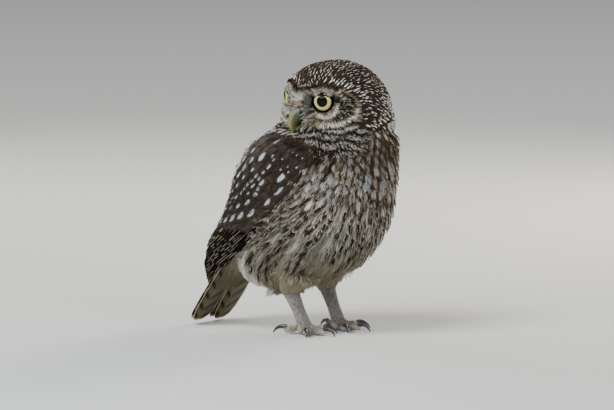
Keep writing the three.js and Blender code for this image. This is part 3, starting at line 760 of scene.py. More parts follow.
@dataclass(frozen=True)
class FeatherFinish:
    """A feather's finish: fine barbs either side of the shaft, marks where each feather says, and painted shade at
    its edges and tip.
    """

    name: str
    pattern: Pattern = Pattern.SPOTS
    roughness: float = 0.78
    sheen: float = 0.05
    barbs: float = 26.0
    barb_share: float = 0.16
    shaft: float = 0.3
    edge: tuple[float, float, float, float] = (0.4, 0.34, 0.25, 1)
    soft: float = 0.2
    # How dark the painted shade at the feather's edges and tip gets: 1 for none.
    painted_edge_shade: float = 1.0
    ragged: float = 0.7
    stagger: float = 0.0
    rim_from: float = 0.86
    whole: float = 1.0
    specular: float = 0.18
    slant: float = 0.35

    def bars(self, g: Graph, away: object, along: object, seed: object, wander: object) -> tuple[object, object]:
        """How far each point is in a bar, and how far it is in the feather's pale rim."""
        middle, long, wide = g.split(g.attribute("Mark", "Vector"))
        wave = g.scaled(along, middle, g.times(away, self.slant))
        wave = g.math("ADD", wave, g.times(seed, self.stagger))
        wave = g.math("FRACT", g.scaled(wander, 0.3, wave))
        bar = g.ramp(g.math("ABSOLUTE", g.math("SUBTRACT", wave, 0.5)), long, g.math("ADD", long, 0.16), 1.0, 0.0)
        inside = g.ramp(g.scaled(wander, 0.3, away), wide, g.math("ADD", wide, 0.14))
        ends = g.times(g.ramp(along, 0.12, 0.25), g.ramp(along, 0.93, 0.99, 1.0, 0.0))
        line = g.ramp(g.scaled(wander, 0.2, away), self.rim_from, self.rim_from + 0.05)
        spot = g.node("CombineXYZ", {0: g.times(along, 11.0), 1: g.times(seed, 60.0)}).outputs[0]
        line = g.times(line, g.ramp(g.noise(1.0, 1.0, spot), 0.44, 0.54, self.whole, 1.0))
        rim = g.times(g.math("MAXIMUM", line, g.ramp(along, 0.972, 0.99)), g.attribute("Side", "Fac"))
        return g.times(bar, inside, ends), rim

    def spots(self, g: Graph, away: object, along: object, wander: object) -> tuple[object, object]:
        """How far each point is in its feather's mark, with no rim."""
        middle, long, wide = g.split(g.attribute("Mark", "Vector"))
        x = g.math("DIVIDE", g.math("ABSOLUTE", g.math("SUBTRACT", away, g.attribute("Side", "Fac"))), wide)
        y = g.math("DIVIDE", g.math("SUBTRACT", along, middle), long)
        far = g.math("SQRT", g.math("ADD", g.times(x, x), g.times(y, y)))
        return g.ramp(g.scaled(wander, self.ragged, far), 0.97 - self.soft, 0.97 + self.soft, 1.0, 0.0), 0.0

    def build(self) -> bpy.types.Material:
        """Makes the material."""
        g = Graph(self.name, self.roughness, self.specular, self.sheen)
        across, along, seed = g.split(g.attribute("Vane", "Vector"))
        away = g.math("ABSOLUTE", across)
        wander = g.math("SUBTRACT", g.noise(1400.0), 0.5)
        if self.pattern is Pattern.BARS:
            share, rim = self.bars(g, away, along, seed, wander)
        else:
            share, rim = self.spots(g, away, along, wander)
        base = g.mix(share, g.attribute("Tint", "Color"), g.attribute("Dye", "Color"))
        ripple = g.scaled(g.scaled(away, -0.45, along), self.barbs * 6.28, g.times(seed, 9.0))
        barb = g.scaled(g.math("SINE", ripple), 0.5, 0.5)
        fleck = g.noise(2600.0)
        shade = g.times(
            g.scaled(barb, self.barb_share, g.scaled(fleck, 0.5, 0.68 - self.barb_share / 2)),
            g.ramp(away, 0.03, 0.08, 1.0 - self.shaft, 1.0),
            g.scaled(seed, 0.4, 0.8),
            # Painted shade: darker towards the edges and the tip, where neighbouring feathers overlap.
            g.ramp(away, 0.62, 1.0, 1.0, self.painted_edge_shade),
            g.ramp(along, 0.93, 1.0, 1.0, self.painted_edge_shade),
        )
        g.shaded(g.mix(rim, base, self.edge), shade)
        g.bump(g.math("ADD", barb, g.times(fleck, 0.6)), 0.35, 0.00012)
        return g.material


@dataclass(frozen=True)
class BarbFinish:
    """The finish of single barbs and down: the colour each carries, with fine flecks and painted shade darker
    towards the roots.
    """

    name: str
    roughness: float = 0.8
    sheen: float = 0.04
    # How dark the painted shade at a barb's root gets: 1 for none.
    root: float = 0.55

    def build(self) -> bpy.types.Material:
        """Makes the material."""
        g = Graph(self.name, self.roughness, 0.15, self.sheen)
        _, along, seed = g.split(g.attribute("Vane", "Vector"))
        fleck = g.noise(1800.0)
        # Painted shade: each barb darker towards its root and a little lighter at its tip.
        paler = g.ramp(along, -0.1, 0.8, self.root, 1.06)
        shade = g.times(g.scaled(fleck, 0.3, 0.78), paler, g.scaled(seed, 0.14, 0.93))
        g.shaded(g.attribute("Tint", "Color"), shade)
        g.bump(fleck, 0.2, 0.0001)
        return g.material


@dataclass(frozen=True)
class SkinFinish:
    """The skin under the coat, and the bare soles: wrinkled, with fine grain."""

    name: str
    roughness: float = 0.75
    specular: float = 0.3
    sheen: float = 0.1

    def build(self) -> bpy.types.Material:
        """Makes the material."""
        g = Graph(self.name, self.roughness, self.specular, self.sheen)
        grain = g.noise(900.0, 4.0)
        where = g.node("TexCoord").outputs["Object"]
        scutes = g.node("TexVoronoi", {"Vector": where, "Scale": 1100.0}, feature="DISTANCE_TO_EDGE").outputs[0]
        edge = g.ramp(scutes, 0.0, 0.16)
        g.shaded(g.attribute("Tint", "Color"), g.scaled(grain, 0.4, g.scaled(edge, 0.16, 0.62)))
        g.bump(g.math("ADD", edge, g.times(grain, 0.6)), 0.5, 0.0002)
        return g.material


@dataclass(frozen=True)
class HornFinish:
    """Horn of the bill or claws: growth streaks, and the colour each point carries, under a gloss."""

    name: str
    roughness: float
    streak: tuple[float, float, float]
    coat: float = 0.4

    def build(self) -> bpy.types.Material:
        """Makes the material."""
        g = Graph(self.name, self.roughness, 0.5)
        g.shader.inputs["Coat Weight"].default_value = self.coat
        g.shader.inputs["Coat Roughness"].default_value = 0.18
        stretched = g.node("Mapping", {"Vector": g.attribute("Vane", "Vector"), "Scale": self.streak}).outputs[0]
        streaks = g.noise(1.0, 4.0, stretched, 0.6)
        grain = g.noise(1500.0, 3.0)
        g.shaded(g.attribute("Tint", "Color"), g.scaled(streaks, 0.5, g.scaled(grain, 0.16, 0.66)))
        g.tree.links.new(g.scaled(streaks, 0.25, self.roughness - 0.08), g.shader.inputs["Roughness"])
        g.bump(g.math("ADD", streaks, g.times(grain, 0.3)), 0.25, 0.00015)
        return g.material


@dataclass(frozen=True)
class IrisFinish:
    """The inner eye: fine rays in the iris, a darker outer ring, and a black pupil."""

    name: str = "iris"

    def build(self) -> bpy.types.Material:
        """Makes the material."""
        g = Graph(self.name, 0.5, 0.0)
        g.shader.inputs["Coat Weight"].default_value = 0.4
        g.shader.inputs["Coat IOR"].default_value = 1.37
        g.shader.inputs["Coat Roughness"].default_value = 0.02
        turn, out, along = g.split(g.attribute("Vane", "Vector"))
        ring = g.node("CombineXYZ", {0: g.math("SINE", turn), 1: g.math("COSINE", turn), 2: g.times(out, 0.12)})
        rays = g.noise(9.0, 4.0, ring.outputs[0], 0.65)
        yellow = g.mix(g.ramp(rays, 0.3, 0.7), (0.5, 0.46, 0.1, 1), (0.68, 0.66, 0.2, 1))
        rim = g.mix(g.ramp(out, EYE.iris - 0.9, EYE.iris), yellow, (0.24, 0.22, 0.05, 1))
        dark = g.mix(g.ramp(out, EYE.iris - 0.12, EYE.iris + 0.1), rim, (0.004, 0.004, 0.004, 1))
        dark = g.mix(g.ramp(along, 0.0, 1.0), (0.004, 0.004, 0.004, 1), dark)
        pupil = g.ramp(out, EYE.pupil - 0.1, EYE.pupil + 0.15)
        g.colour(g.mix(pupil, (0.002, 0.002, 0.003, 1), dark))
        g.bump(rays, 0.15, 0.0001)
        return g.material


@dataclass(frozen=True)
class FloorFinish:
    """The plain pale floor."""

    name: str = "floor"

    def build(self) -> bpy.types.Material:
        """Makes the material."""
        g = Graph(self.name, 0.95, 0.0)
        far = g.node("VectorMath", {0: g.node("TexCoord").outputs["Object"]}, operation="LENGTH").outputs["Value"]
        fade = g.ramp(far, 0.8, 5.0)
        g.colour(g.mix(fade, (0.68, 0.68, 0.66, 1), (0, 0, 0, 1)))
        g.shader.inputs["Emission Color"].default_value = SKY_COLOUR
        g.tree.links.new(g.times(fade, SKY), g.shader.inputs["Emission Strength"])
        return g.material


BARBS = BarbFinish("barbs")
# The face's barbs carry deeper painted shade at their roots.
FACE_BARBS = BarbFinish("face_barb", root=0.4)
# The coverts carry strong painted shade at their edges and tips.
COVERT = FeatherFinish("covert", roughness=0.68, sheen=0.08, barbs=24.0, shaft=0.25, painted_edge_shade=0.45)


def put(name: str, data: bpy.types.ID) -> bpy.types.Object:
    """A new object in the scene."""
    made = bpy.data.objects.new(name, data)
    bpy.context.scene.collection.objects.link(made)
    return made


@dataclass
class Workshop:
    """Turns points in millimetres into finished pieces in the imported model's frame."""

    shift: Array = field(default_factory=lambda: np.zeros(3))
    made: dict[str, bpy.types.Material] = field(default_factory=dict)
    done: list[bpy.types.Object] = field(default_factory=list)

    def settle(self, head: HeadForm) -> None:
        """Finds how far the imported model's frame is from the sizes here, by the middle of the left eye."""
        low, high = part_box("eye_left")
        centre, _, _ = eye_place(head, 1.0, 0.0, EYE.node_splay)
        self.shift = centre - (np.array(low) + np.array(high)) / 2 / MM

    def metres(self, points: Array) -> Array:
        """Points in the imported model's frame, kept off the floor."""
        moved = (points - self.shift) * MM
        moved[..., 2] = np.maximum(moved[..., 2], FLOOR_PLAY * MM)
        return moved

    def finish(self, kind: object) -> bpy.types.Material:
        """The material of a finish, made once."""
        if kind.name not in self.made:
            self.made[kind.name] = kind.build()
        return self.made[kind.name]

    def mesh(self, name: str, points: Array, faces: list[Array]) -> bpy.types.Mesh:
        """A mesh of points in millimetres and faces in groups of equal corners."""
        mesh = bpy.data.meshes.new(name)
        mesh.vertices.add(len(points))
        mesh.vertices.foreach_set("co", self.metres(points).astype(np.float32).ravel())
        corners = np.concatenate([f.ravel() for f in faces]).astype(np.int32)
        sizes = np.concatenate([np.full(len(f), f.shape[1]) for f in faces])
        mesh.loops.add(len(corners))
        mesh.loops.foreach_set("vertex_index", corners)
        mesh.polygons.add(len(sizes))
        mesh.polygons.foreach_set("loop_start", np.concatenate([[0], np.cumsum(sizes)[:-1]]).astype(np.int32))
        mesh.polygons.foreach_set("use_smooth", np.ones(len(sizes), bool))
        mesh.update(calc_edges=True)
        return mesh

    @staticmethod
    def carry(mesh: bpy.types.Mesh, name: str, values: Array) -> None:
        """Gives each point of a mesh a colour, a vector or a number."""
        if values.ndim == 1:
            kind, field_name = "FLOAT", "value"
        elif name in ("Tint", "Dye"):
            kind, field_name = "FLOAT_COLOR", "color"
            values = np.concatenate([values, np.ones((len(values), 1))], 1)
        else:
            kind, field_name = "FLOAT_VECTOR", "vector"
        mesh.attributes.new(name, kind, "POINT").data.foreach_set(field_name, values.astype(np.float32).ravel())

    def piece(
        self, mesh: bpy.types.Mesh, slot: str, finishes: list, nodes: tuple[str, ...] = ()
    ) -> bpy.types.Object:
        """A finished piece that rides on the body, and stands for nodes if it names any."""
        for kind in finishes:
            mesh.materials.append(self.finish(kind))
        made = put(mesh.name, mesh)
        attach(made, BODY)
        if nodes:
            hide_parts(*nodes)
        self.done.append(made)
        mesh.calc_loop_triangles()
        LOG.info("%s: %d triangles", made.name, len(mesh.loop_triangles))
        return made

    @staticmethod
    def grown(raw: bpy.types.Object, name: str) -> tuple[bpy.types.Mesh, Array]:
        """The mesh that an object's modifiers make, kept off the floor, with its points. The object goes."""
        bpy.context.view_layer.update()
        mesh = bpy.data.meshes.new_from_object(raw.evaluated_get(bpy.context.evaluated_depsgraph_get()))
        start = raw.data
        bpy.data.objects.remove(raw)
        bpy.data.meshes.remove(start)
        mesh.name = name
        where = np.zeros(len(mesh.vertices) * 3, np.float32)
        mesh.vertices.foreach_get("co", where)
        where = where.reshape(-1, 3).astype(float)
        where[:, 2] = np.maximum(where[:, 2], FLOOR_PLAY * MM)
        mesh.vertices.foreach_set("co", where.astype(np.float32).ravel())
        return mesh, where

    @staticmethod
    def bake_map(mesh: bpy.types.Mesh, places: Array) -> None:
        """Gives a mesh its map for baking."""
        mesh.uv_layers.new(name="OFBake").data.foreach_set("uv", places.astype(np.float32).ravel())

    def coat(
        self, name: str, slot: str, kind: object, batches: list[Batch], nodes: tuple[str, ...] = ()
    ) -> bpy.types.Object:
        """Feathers joined to one piece, each with its own patch on the coat's map."""
        faces, maps, start = [], [], 0
        home = np.concatenate([b.home[:, :2] for b in batches])
        low, span = home.min(0), np.ptp(home, axis=0)
        for b in batches:
            count, rings, corners = b.rings.shape[:3]
            index = start + np.arange(count * rings * corners).reshape(count, rings, corners)
            start += index.size
            after = np.roll(index, -1, axis=2)
            quad = np.stack([index[:, :-1], after[:, :-1], after[:, 1:], index[:, 1:]], -1)
            faces += [quad.reshape(-1, 4), index[:, -1], index[:, 0, ::-1]]
            at = MAP_EDGE + MAP_SPAN * (b.home[:, :2] - low) / span
            corner = np.stack(np.meshgrid(np.arange(corners) / corners, np.arange(rings - 1) / (rings - 1)), -1)
            steps = np.array([[0, 0], [1, 0], [1, 1], [0, 1]]) * [1 / corners, 1 / (rings - 1)]
            patch = corner[:, :, None] + steps
            cap = PATCH / 2 + CAP * spokes(2 * np.pi * np.arange(corners) / corners)
            maps.append((at[:, None, None, None] + PATCH * patch).reshape(-1, 2))
            maps += [(at[:, None] + cap).reshape(-1, 2), (at[:, None] + cap[::-1]).reshape(-1, 2)]
        mesh = self.mesh(name, np.concatenate([b.rings.reshape(-1, 3) for b in batches]), faces)
        for key in ("tint", "vane"):
            self.carry(mesh, key.title(), np.concatenate([getattr(b, key).reshape(-1, 3) for b in batches]))
        for key in ("dye", "mark", "side"):
            each = [np.repeat(getattr(b.look, key), math.prod(b.rings.shape[1:3]), axis=0) for b in batches]
            self.carry(mesh, key.title(), np.concatenate(each))
        self.bake_map(mesh, np.concatenate(maps))
        return self.piece(mesh, slot, [kind], nodes)


def closed(points: Array, ends: Points) -> Shape:
    """A closed shape of rings of points and its two end points, which come last."""
    rings, sides = points.shape[:2]
    index = np.arange(rings * sides).reshape(rings, sides)
    after = np.roll(index, -1, axis=1)
    quad = np.stack([index[:-1], after[:-1], after[1:], index[1:]], -1).reshape(-1, 4)
    low = np.stack([after[0], index[0], np.full(sides, rings * sides)], -1)
    high = np.stack([index[-1], after[-1], np.full(sides, rings * sides + 1)], -1)
    return np.concatenate([points.reshape(-1, 3), np.array(ends)]), [quad, np.concatenate([low, high])]


def limb(form: LimbForm, shares: Array, sides: int, depth: float = 0.0) -> tuple[Array, list[Array], Array]:
    """A closed limb.

    Args:
        form: the limb. shares: where its rings are along it. sides: how many each has.
        depth: how far it lies inside.

    Returns:
        Its points, its faces, and rows for its finish: each point's turn round a middle at its share of the length.
    """
    place = pairs(shares, around(sides))
    points, faces = closed(form.point(place) - form.normal(place) * depth, (form.line(0.0), form.line(1.0)))
    share, turn = place.reshape(-1, 2).T
    rows = np.stack([np.cos(turn), share, np.sin(turn)], -1)
    return points, faces, np.concatenate([rows, [[0, 0, 0], [0, 1, 0]]])


def ball(rings: int, sides: int) -> Array:
    """Rings of ways all round, without the two poles."""
    polar, turn = np.linspace(0, np.pi, rings)[1:-1, None], around(sides)
    return np.stack([np.sin(polar) * np.cos(turn), np.sin(polar) * np.sin(turn), np.cos(polar) + 0 * turn], -1)


def joined(shapes: list[Shape]) -> Shape:
    """Shapes as one."""
    starts = np.cumsum([0] + [len(points) for points, _ in shapes])
    faces = [group + start for (_, groups), start in zip(shapes, starts) for group in groups]
    return np.concatenate([points for points, _ in shapes]), faces


def over_eye(out: Array, fall: float) -> Array:
    """How far the eyeball's front stands ahead of its middle, by the distance out, falling past the ball's edge."""
    front = np.sqrt(np.maximum(EYE.radius**2 - np.minimum(out, EYE.edge) ** 2, 2.0)) * EYE.flat
    return front - fall * np.maximum(out - EYE.edge, 0)


def eye_place(
    head: HeadForm, sign: float, raised: float = EYE.raised, aside: float = EYE.splay
) -> tuple[Array, Array, Array]:
    """The middle of an eyeball, the way its socket opens, and the way it looks."""
    splay = math.radians(aside) * sign
    way = head.way([math.sin(splay), math.cos(splay), 0])
    depth = math.sqrt(EYE.radius**2 - EYE.seat**2)
    gaze = head.way(unit(np.array([math.sin(splay), math.cos(splay), EYE.gaze])))
    return head.out([EYE.side * sign, EYE.forward, EYE.up + raised]) - way * depth, way, gaze


class Colours:
    """The owl's colours."""

    crown = srgb(58, 45, 33)
    streak = srgb(232, 216, 190)
    back = srgb(55, 45, 34)
    spot = srgb(200, 205, 207)
    breast = srgb(85, 67, 47)
    rust = srgb(126, 95, 64)
    dark = srgb(40, 27, 18)
    white = srgb(226, 222, 206)
    cream = srgb(206, 194, 162)
    buff = srgb(186, 150, 108)
    grey = srgb(166, 158, 144)
    flight = srgb(25, 19, 14)
    bar = srgb(176, 156, 126)
    # The underside's olive grey: partly its own colour, partly painted shade of the underside.
    under = srgb(96, 88, 62)
    leg = srgb(206, 200, 190)
    toe = srgb(176, 164, 150)
    black = srgb(16, 14, 13)


EYE_ANGLES = np.array([34.7, 21.4])


@dataclass(frozen=True)
class Stroke:
    """A painted line on the face, by turn and rise in degrees, with its spread, colour and force."""

    line: tuple[tuple[float, float], ...]
    spread: float
    colour: tuple[float, float, float]
    force: float = 1.0
    dashed: float = 0.0

    def over(self, colour: Array, angles: Array) -> Array:
        """The colours with this line painted over them."""
        share = bell(to_line(angles, self.line), self.spread) ** 2 * self.force * 1.2
        wave = np.cos(angles[..., 0] * 1.15 + 1.7 * np.cos(angles[..., 1] * 0.9))
        share = share * mix(1.0, ramp(wave, -0.7, -0.1), self.dashed)
        return mix(colour, srgb(*self.colour), np.minimum(share, 1)[..., None])


WHITE, CREAM, BROWN, BLACK = (240, 238, 230), (214, 200, 170), (48, 34, 24), (16, 13, 11)
FACE_STROKES = (
    Stroke(((24, 28), (34, 30.5), (44, 29.5), (54, 27)), 3.4, (150, 138, 118), 0.8),
    Stroke(((22, 3.2), (32, 2), (38, 2.8), (44, 4), (50, 7)), 2.4, BROWN, 0.75, 0.5),
    Stroke(((16, 0), (27, -2.2), (38, -2.4), (46, -1.2), (54, 1)), 2.2, CREAM, 0.75),
    Stroke(((20, 11), (24.7, 8), (29.7, 5.8), (36, 5.2), (42, 6.4), (46.5, 9.8), (49, 13), (49.8, 17)),
           3.0, WHITE),
    Stroke(((-6, 22), (-1, 23), (5, 26), (10.5, 28.7), (16.5, 30.8), (23, 32.3)), 3.1, WHITE),
    Stroke(((23, 32.3), (28, 33), (35.5, 33.4), (42, 32.5), (48, 31), (53, 28.2), (58, 24.6)),
           2.4, (236, 228, 208), 1.0),
    Stroke(((0, 30), (12, 35), (24, 37.5), (30, 38.5), (40, 37.3), (50, 34.5)), 3.6, BROWN, 1.3, 0.25),
    Stroke(((50, 24.8), (58, 27.5), (64, 26.6), (68.6, 20.4), (69.2, 14.5)), 1.7, BROWN, 0.9),
    Stroke(((0, -10.5), (16, -9), (32, -5.4)), 2.8, (206, 196, 174), 0.8),
    Stroke(((30, -5.4), (40, -3.8), (47, -3.2), (54, -1.2), (59.5, 1.2), (63.5, 4), (68, 6), (70.6, 9),
            (71, 13)), 2.8, WHITE),
    Stroke(((0, -19.5), (15.5, -17), (32, -12.6), (40, -11), (47, -9.3), (55, -6.8), (62, -4.8), (71, -4.3)),
           2.2, WHITE, 0.85),
    Stroke(((0, -15.6), (12, -13.4), (20, -11.6), (30, -9.3), (40, -7.7), (47, -6.5), (54, -5), (59, -2.7),
            (65, 1)), 2.0, BROWN, 1.0, 0.35),
    Stroke(((0, -22.6), (16, -20.2), (27, -18.2), (38, -15.3), (46, -13), (52, -11.8), (58, -9.8), (66, -8.7)),
           2.0, BROWN, 0.9, 0.5),
    # A pale grey line over the upper lid: partly the lid's pale feathers, partly a painted highlight on the lid.
    Stroke(((41, 27.2), (48.2, 24.3)), 1.4, (206, 206, 204), 0.8),
    # A thin black line along the upper lid's fold: painted shade in the crease.
    Stroke(((33, 29.2), (40.8, 29.2), (46.5, 27)), 0.9, BLACK, 0.8),
    Stroke(((21.5, 24), (18.4, 19.2), (16.6, 16), (17.6, 13.3), (20, 10.4)), 1.9, BLACK, 1.0),
    Stroke(((47, 23.4), (51, 24.4)), 1.4, BLACK, 1.0),
)
PALE_ARC = [[31, 38.5], [44, 36], [59, 34], [67, 32.4], [74.5, 29], [80.6, 22], [83, 15], [83.5, 7]]


def face_angles(q: Array) -> Array:
    """The turn aside and the rise of ways from the head's middle, in degrees, with both sides alike."""
    q = unit(q)
    turn, rise = np.arctan2(np.abs(q[..., 0]), q[..., 1]), np.arcsin(np.clip(q[..., 2], -1, 1))
    return np.degrees(np.stack([turn, rise], -1))


def inside_disc(angles: Array) -> Array:
    """1 inside the face's disc and its ruff, falling to 0 past their edge."""
    turn, rise = angles[..., 0], angles[..., 1]
    upper = [27, 29.5, 32.2, 34.4, 36.2, 36.8, 34.2, 30.4, 27, 20]
    top = np.interp(turn, [0, 5, 10, 16, 23, 35, 48, 58, 66, 72], upper)
    low = np.interp(turn, [0, 16, 27, 38, 52, 64, 70, 73], [-24, -22.5, -20.5, -17.5, -14, -11, -7, 4])
    return ramp(top - rise, -1.0, 1.0) * ramp(rise - low, -1.0, 1.0) * ramp(72.5 - turn, -1.0, 1.0)


class Plumage:
    """The looks of the coat, by where a feather grows."""

    def __init__(self, head: HeadForm, body: RingForm) -> None:
        """Takes the forms that the coat grows on."""
        self.head, self.body = head, body

    @staticmethod
    def face(q: Array, rng: np.random.Generator) -> Array:
        """Colours at places on the face's small feathers: one random tone for each feather."""
        angles = face_angles(q)
        turn, rise = angles[..., 0], angles[..., 1]
        noise = rng.random((len(turn),) + (1,) * (turn.ndim - 1)) + 0 * turn
        angles = angles + rng.normal(0, 0.75, (len(turn),) + (1,) * (turn.ndim - 1) + (2,))
        turn, rise = angles[..., 0], angles[..., 1]
        colour = mix(Colours.grey, Colours.streak, (0.15 + 0.5 * noise)[..., None])
        lores = bell(turn - 9, 12) * bell(rise - 8, 15)
        hair = np.maximum(lores, 0.45) * (noise < 0.36)
        colour = mix(colour, Colours.dark, (0.8 * hair)[..., None])
        a, b = math.cos(0.35), math.sin(0.35)
        u, v = (turn * a + rise * b) / 4.3, (rise * a - turn * b) / 3.9
        waves = np.cos(2 * np.pi * u + 1.5 * np.sin(3.1 * v)) * np.cos(2 * np.pi * v + 1.1 * np.sin(2.3 * u))
        spotted = ramp(waves, 0.2, 0.55)
        floor = np.interp(turn, [27, 38, 49, 56, 62, 68], [0, 0, 1.5, 3, 6, 9.5])
        cheek = ramp(turn, 43, 48) * (1 - ramp(turn, 67, 70))
        cheek = cheek * (1 - ramp(rise, 25, 28)) * ramp(rise - floor, -1.5, 1)
        ground = mix(Colours.dark, Colours.breast, (0.1 + 0.5 * noise)[..., None])
        mottled = mix(ground * 0.3, mix(Colours.cream, Colours.white, noise[..., None]), spotted[..., None])
        colour = mix(colour, mottled, cheek[..., None])
        ruff = 1 - ramp(rise - np.interp(turn, [0, 20, 40, 59, 65], [-13, -11, -7, -2, 2]), -2, 0)
        scale = mix(Colours.dark, Colours.breast, noise[..., None])
        scaly = mix(Colours.grey * 0.75, scale, (noise[..., None] < 0.45) * 0.8)
        colour = mix(colour, scaly, ruff[..., None])
        for stroke in FACE_STROKES:
            colour = stroke.over(colour, angles)
        fleck = (rng.random(noise.shape[:1]) < 0.16).reshape((-1,) + (1,) * turn.ndim)
        return 0.95 * (mix(colour, Colours.dark, 0.7 * fleck) * (0.8 + 0.4 * noise[..., None]) / 0.8) ** 1.6

    @staticmethod
    def crown(q: Array, rng: np.random.Generator) -> Look:
        """Looks of the feathers of the crown, nape and sides of the head."""
        q = unit(q)
        count = len(q)
        angles = face_angles(q)
        nape = np.clip(ramp(-q[:, 1], -0.15, 0.6) * ramp(0.75 - q[:, 2], 0, 0.4) + ramp(-q[:, 2], -0.3, 0.3), 0, 1)
        ground = mix(Colours.crown, Colours.back * 1.15, nape[:, None]) * (0.75 + 0.5 * rng.random((count, 1)))
        dye = mix(Colours.streak, Colours.spot, rng.random((count, 1)))
        dye = dye * (1.0 + 0.3 * rng.random((count, 1)))
        size = 0.75 + 0.5 * rng.random(count)
        mark = np.stack([mix(0.72, 0.74, nape), mix(0.2, 0.25, nape) * size, mix(0.15, 0.46, nape) * size], -1)
        arc = bell(to_line(angles, PALE_ARC), 4.5) ** 2
        mark[:, 2] = mark[:, 2] * (1 + 1.2 * arc * (1 - nape))
        mark[:, 1] = mark[:, 1] * (1 + 0.5 * arc)
        mark[(rng.random(count) < mix(0.42, 0.2, nape)) & (arc < 0.5), 0] = -9
        below = ramp(-angles[:, 1], 9, 15) * (1 - ramp(angles[:, 0], 95, 120))
        scaly = below > 0.5
        ground = swap(ground, scaly, mix(Colours.dark, Colours.breast, rng.random((count, 1))))
        dye = swap(dye, scaly, mix(Colours.grey, Colours.white, rng.random((count, 1))))
        mark = swap(mark, scaly, np.stack([0.62 + 0 * size, 0.3 * size, 0.45 * size], -1))
        chin = ramp(-angles[:, 1], 20, 24) * (1 - ramp(angles[:, 0], 30, 50))
        ground = mix(ground, Colours.white, (chin * 0.9)[:, None])
        dye = mix(dye, Colours.grey, chin[:, None])
        patch = bell(np.abs(angles[:, 0]) - 142, 14) * bell(angles[:, 1] + 2, 11)
        ground = mix(ground, Colours.cream, (0.7 * patch)[:, None])
        return Look.marked(ground, dye, mark)

    @staticmethod
    def body_look(turn: Array, height: Array, rng: np.random.Generator, column: Array | None = None) -> Look:
        """Looks of the feathers of the breast, belly, flanks, back and rump, by turn, height and column."""
        aside = np.degrees(np.abs(turn))
        count = len(turn)
        rough, chance = rng.random(count), rng.random(count)
        flank = ramp(aside, 58, 84) * ramp(height, 50, 75)
        # Random tone, with painted shade: the ground is darker low on the belly.
        light = mix(0.37 + 0.2 * rough, 0.62 + 0.42 * rough, ramp(height, 60, 95))
        ground = mix(Colours.cream, Colours.white, ramp(height, 45, 75)[:, None]) * light[:, None]
        ground = mix(ground, Colours.buff, (0.3 * ramp(height, 75, 110) * chance)[:, None])
        dye = mix(Colours.dark * 0.22, Colours.breast * 0.6, (ramp(height, 60, 110) * (0.1 + 0.7 * rough))[:, None])
        dye = mix(dye, Colours.breast * 0.7, (0.35 * flank)[:, None])
        ground = ground * (1 - 0.22 * flank)[:, None]
        wide = np.interp(height, [38, 55, 70, 88, 105], [0.3, 0.45, 0.49, 0.52, 0.55]) + 0.1 * flank
        long = np.interp(height, [38, 50, 62, 80], [0.22, 0.36, 0.44, 0.46])
        middle = np.interp(height, [45, 70], [0.74, 0.62])
        mark = np.stack([middle, long * (0.88 + 0.24 * rough), wide * (0.8 + 0.35 * chance)], -1)
        few = (height < 60) & (chance > np.interp(height, [34, 44, 60], [0.05, 0.45, 1.0]))
        if column is not None:
            few |= (column % 2 == 1) & (rough < np.interp(height, [58, 72, 88], [0.9, 0.55, 0.0]))
        mark[few, 0] = -9
        upper = height + 34 * (rough - 0.5) > 107
        up_ground = mix(Colours.breast, Colours.crown, rough[:, None]) * (0.9 + 0.5 * chance[:, None])
        up_dye = mix(Colours.white, Colours.spot, chance[:, None]) * (0.55 + 0.45 * rough[:, None])
        up_mark = np.stack([0.66 + 0.12 * chance, 0.26 + 0.1 * chance, 0.3 + 0.3 * rough], -1)
        collar = (height > 124) & (aside < 100)
        up_mark = swap(up_mark, collar, np.stack([0.66 + 0 * rough, 0.27 + 0.08 * chance, 0.4 + 0.12 * rough], -1))
        ground = swap(ground, upper, up_ground)
        dye = swap(dye, upper, up_dye)
        mark = swap(mark, upper, up_mark)
        halo = np.where(upper, 0.6, 0.5) * np.interp(height, [50, 75], [0.3, 1.0])
        edges = Table(COAT_EDGES)(height)
        rear = ramp(aside, edges[:, 0] + 3, edges[:, 0] + 9) * ramp(height, 54, 62)
        ruff = (height + 5 * (rough - 0.5) > 127.5) & (aside < 112)
        mantle = ramp(aside + 14 * (chance - 0.5), 78, 92) * ramp(height, 114, 120) * (1 - ruff)
        rear = np.maximum.reduce([rear, mantle, ramp(aside, 152, 165) * ramp(height, 48, 54)])
        back = rear > 0.5
        ground = swap(ground, back, Colours.back * (0.8 + 0.4 * chance[:, None]))
        dye = swap(dye, back, Colours.spot * (0.85 + 0.15 * rough[:, None]))
        spot = np.stack([0.74 + 0.06 * (rough - 0.5), 0.11 + 0.05 * chance, 0.24 + 0.14 * rough], -1)
        spot[(chance > 0.75) | ((mantle > 0.5) & (chance > 0.35)), 0] = -9
        mark = swap(mark, back, spot)
        ruff = ruff & (turn < -0.8)
        ground = swap(ground, ruff, mix(Colours.dark, Colours.breast, 0.3 * chance[:, None]))
        mark[ruff, 0] = -9
        vent = ramp(aside, 98, 112) * (1 - ramp(height, 50, 60)) * (1 - back)
        ground = mix(ground, Colours.white, vent[:, None])
        mark[vent > 0.5, 0] = -9
        return Look(ground, dye, mark, np.zeros(count), np.where(back | (vent > 0.5), 0, halo))

    def stand(self, place: Array) -> Array:
        """How far the folded wings' surface stands over the body at each place."""
        side = np.where(place[..., 0] < 0, -1.0, 1.0)
        flat = np.stack([np.abs(place[..., 0]), place[..., 1]], -1)
        wing = RingForm(WING_SECTIONS).point(flat) * np.stack([side, 0 * side + 1, 0 * side + 1], -1)
        rise = ((wing - self.body.point(place)) * self.body.normal(place)).sum(-1)
        aside, edges = np.degrees(flat[..., 0]), Table(COAT_EDGES)(place[..., 1])
        front, back = np.moveaxis(edges, -1, 0)
        return np.maximum(rise, 0) * ramp(aside, front - 8, front + 1) * (1 - ramp(aside, back - 1, back + 8))

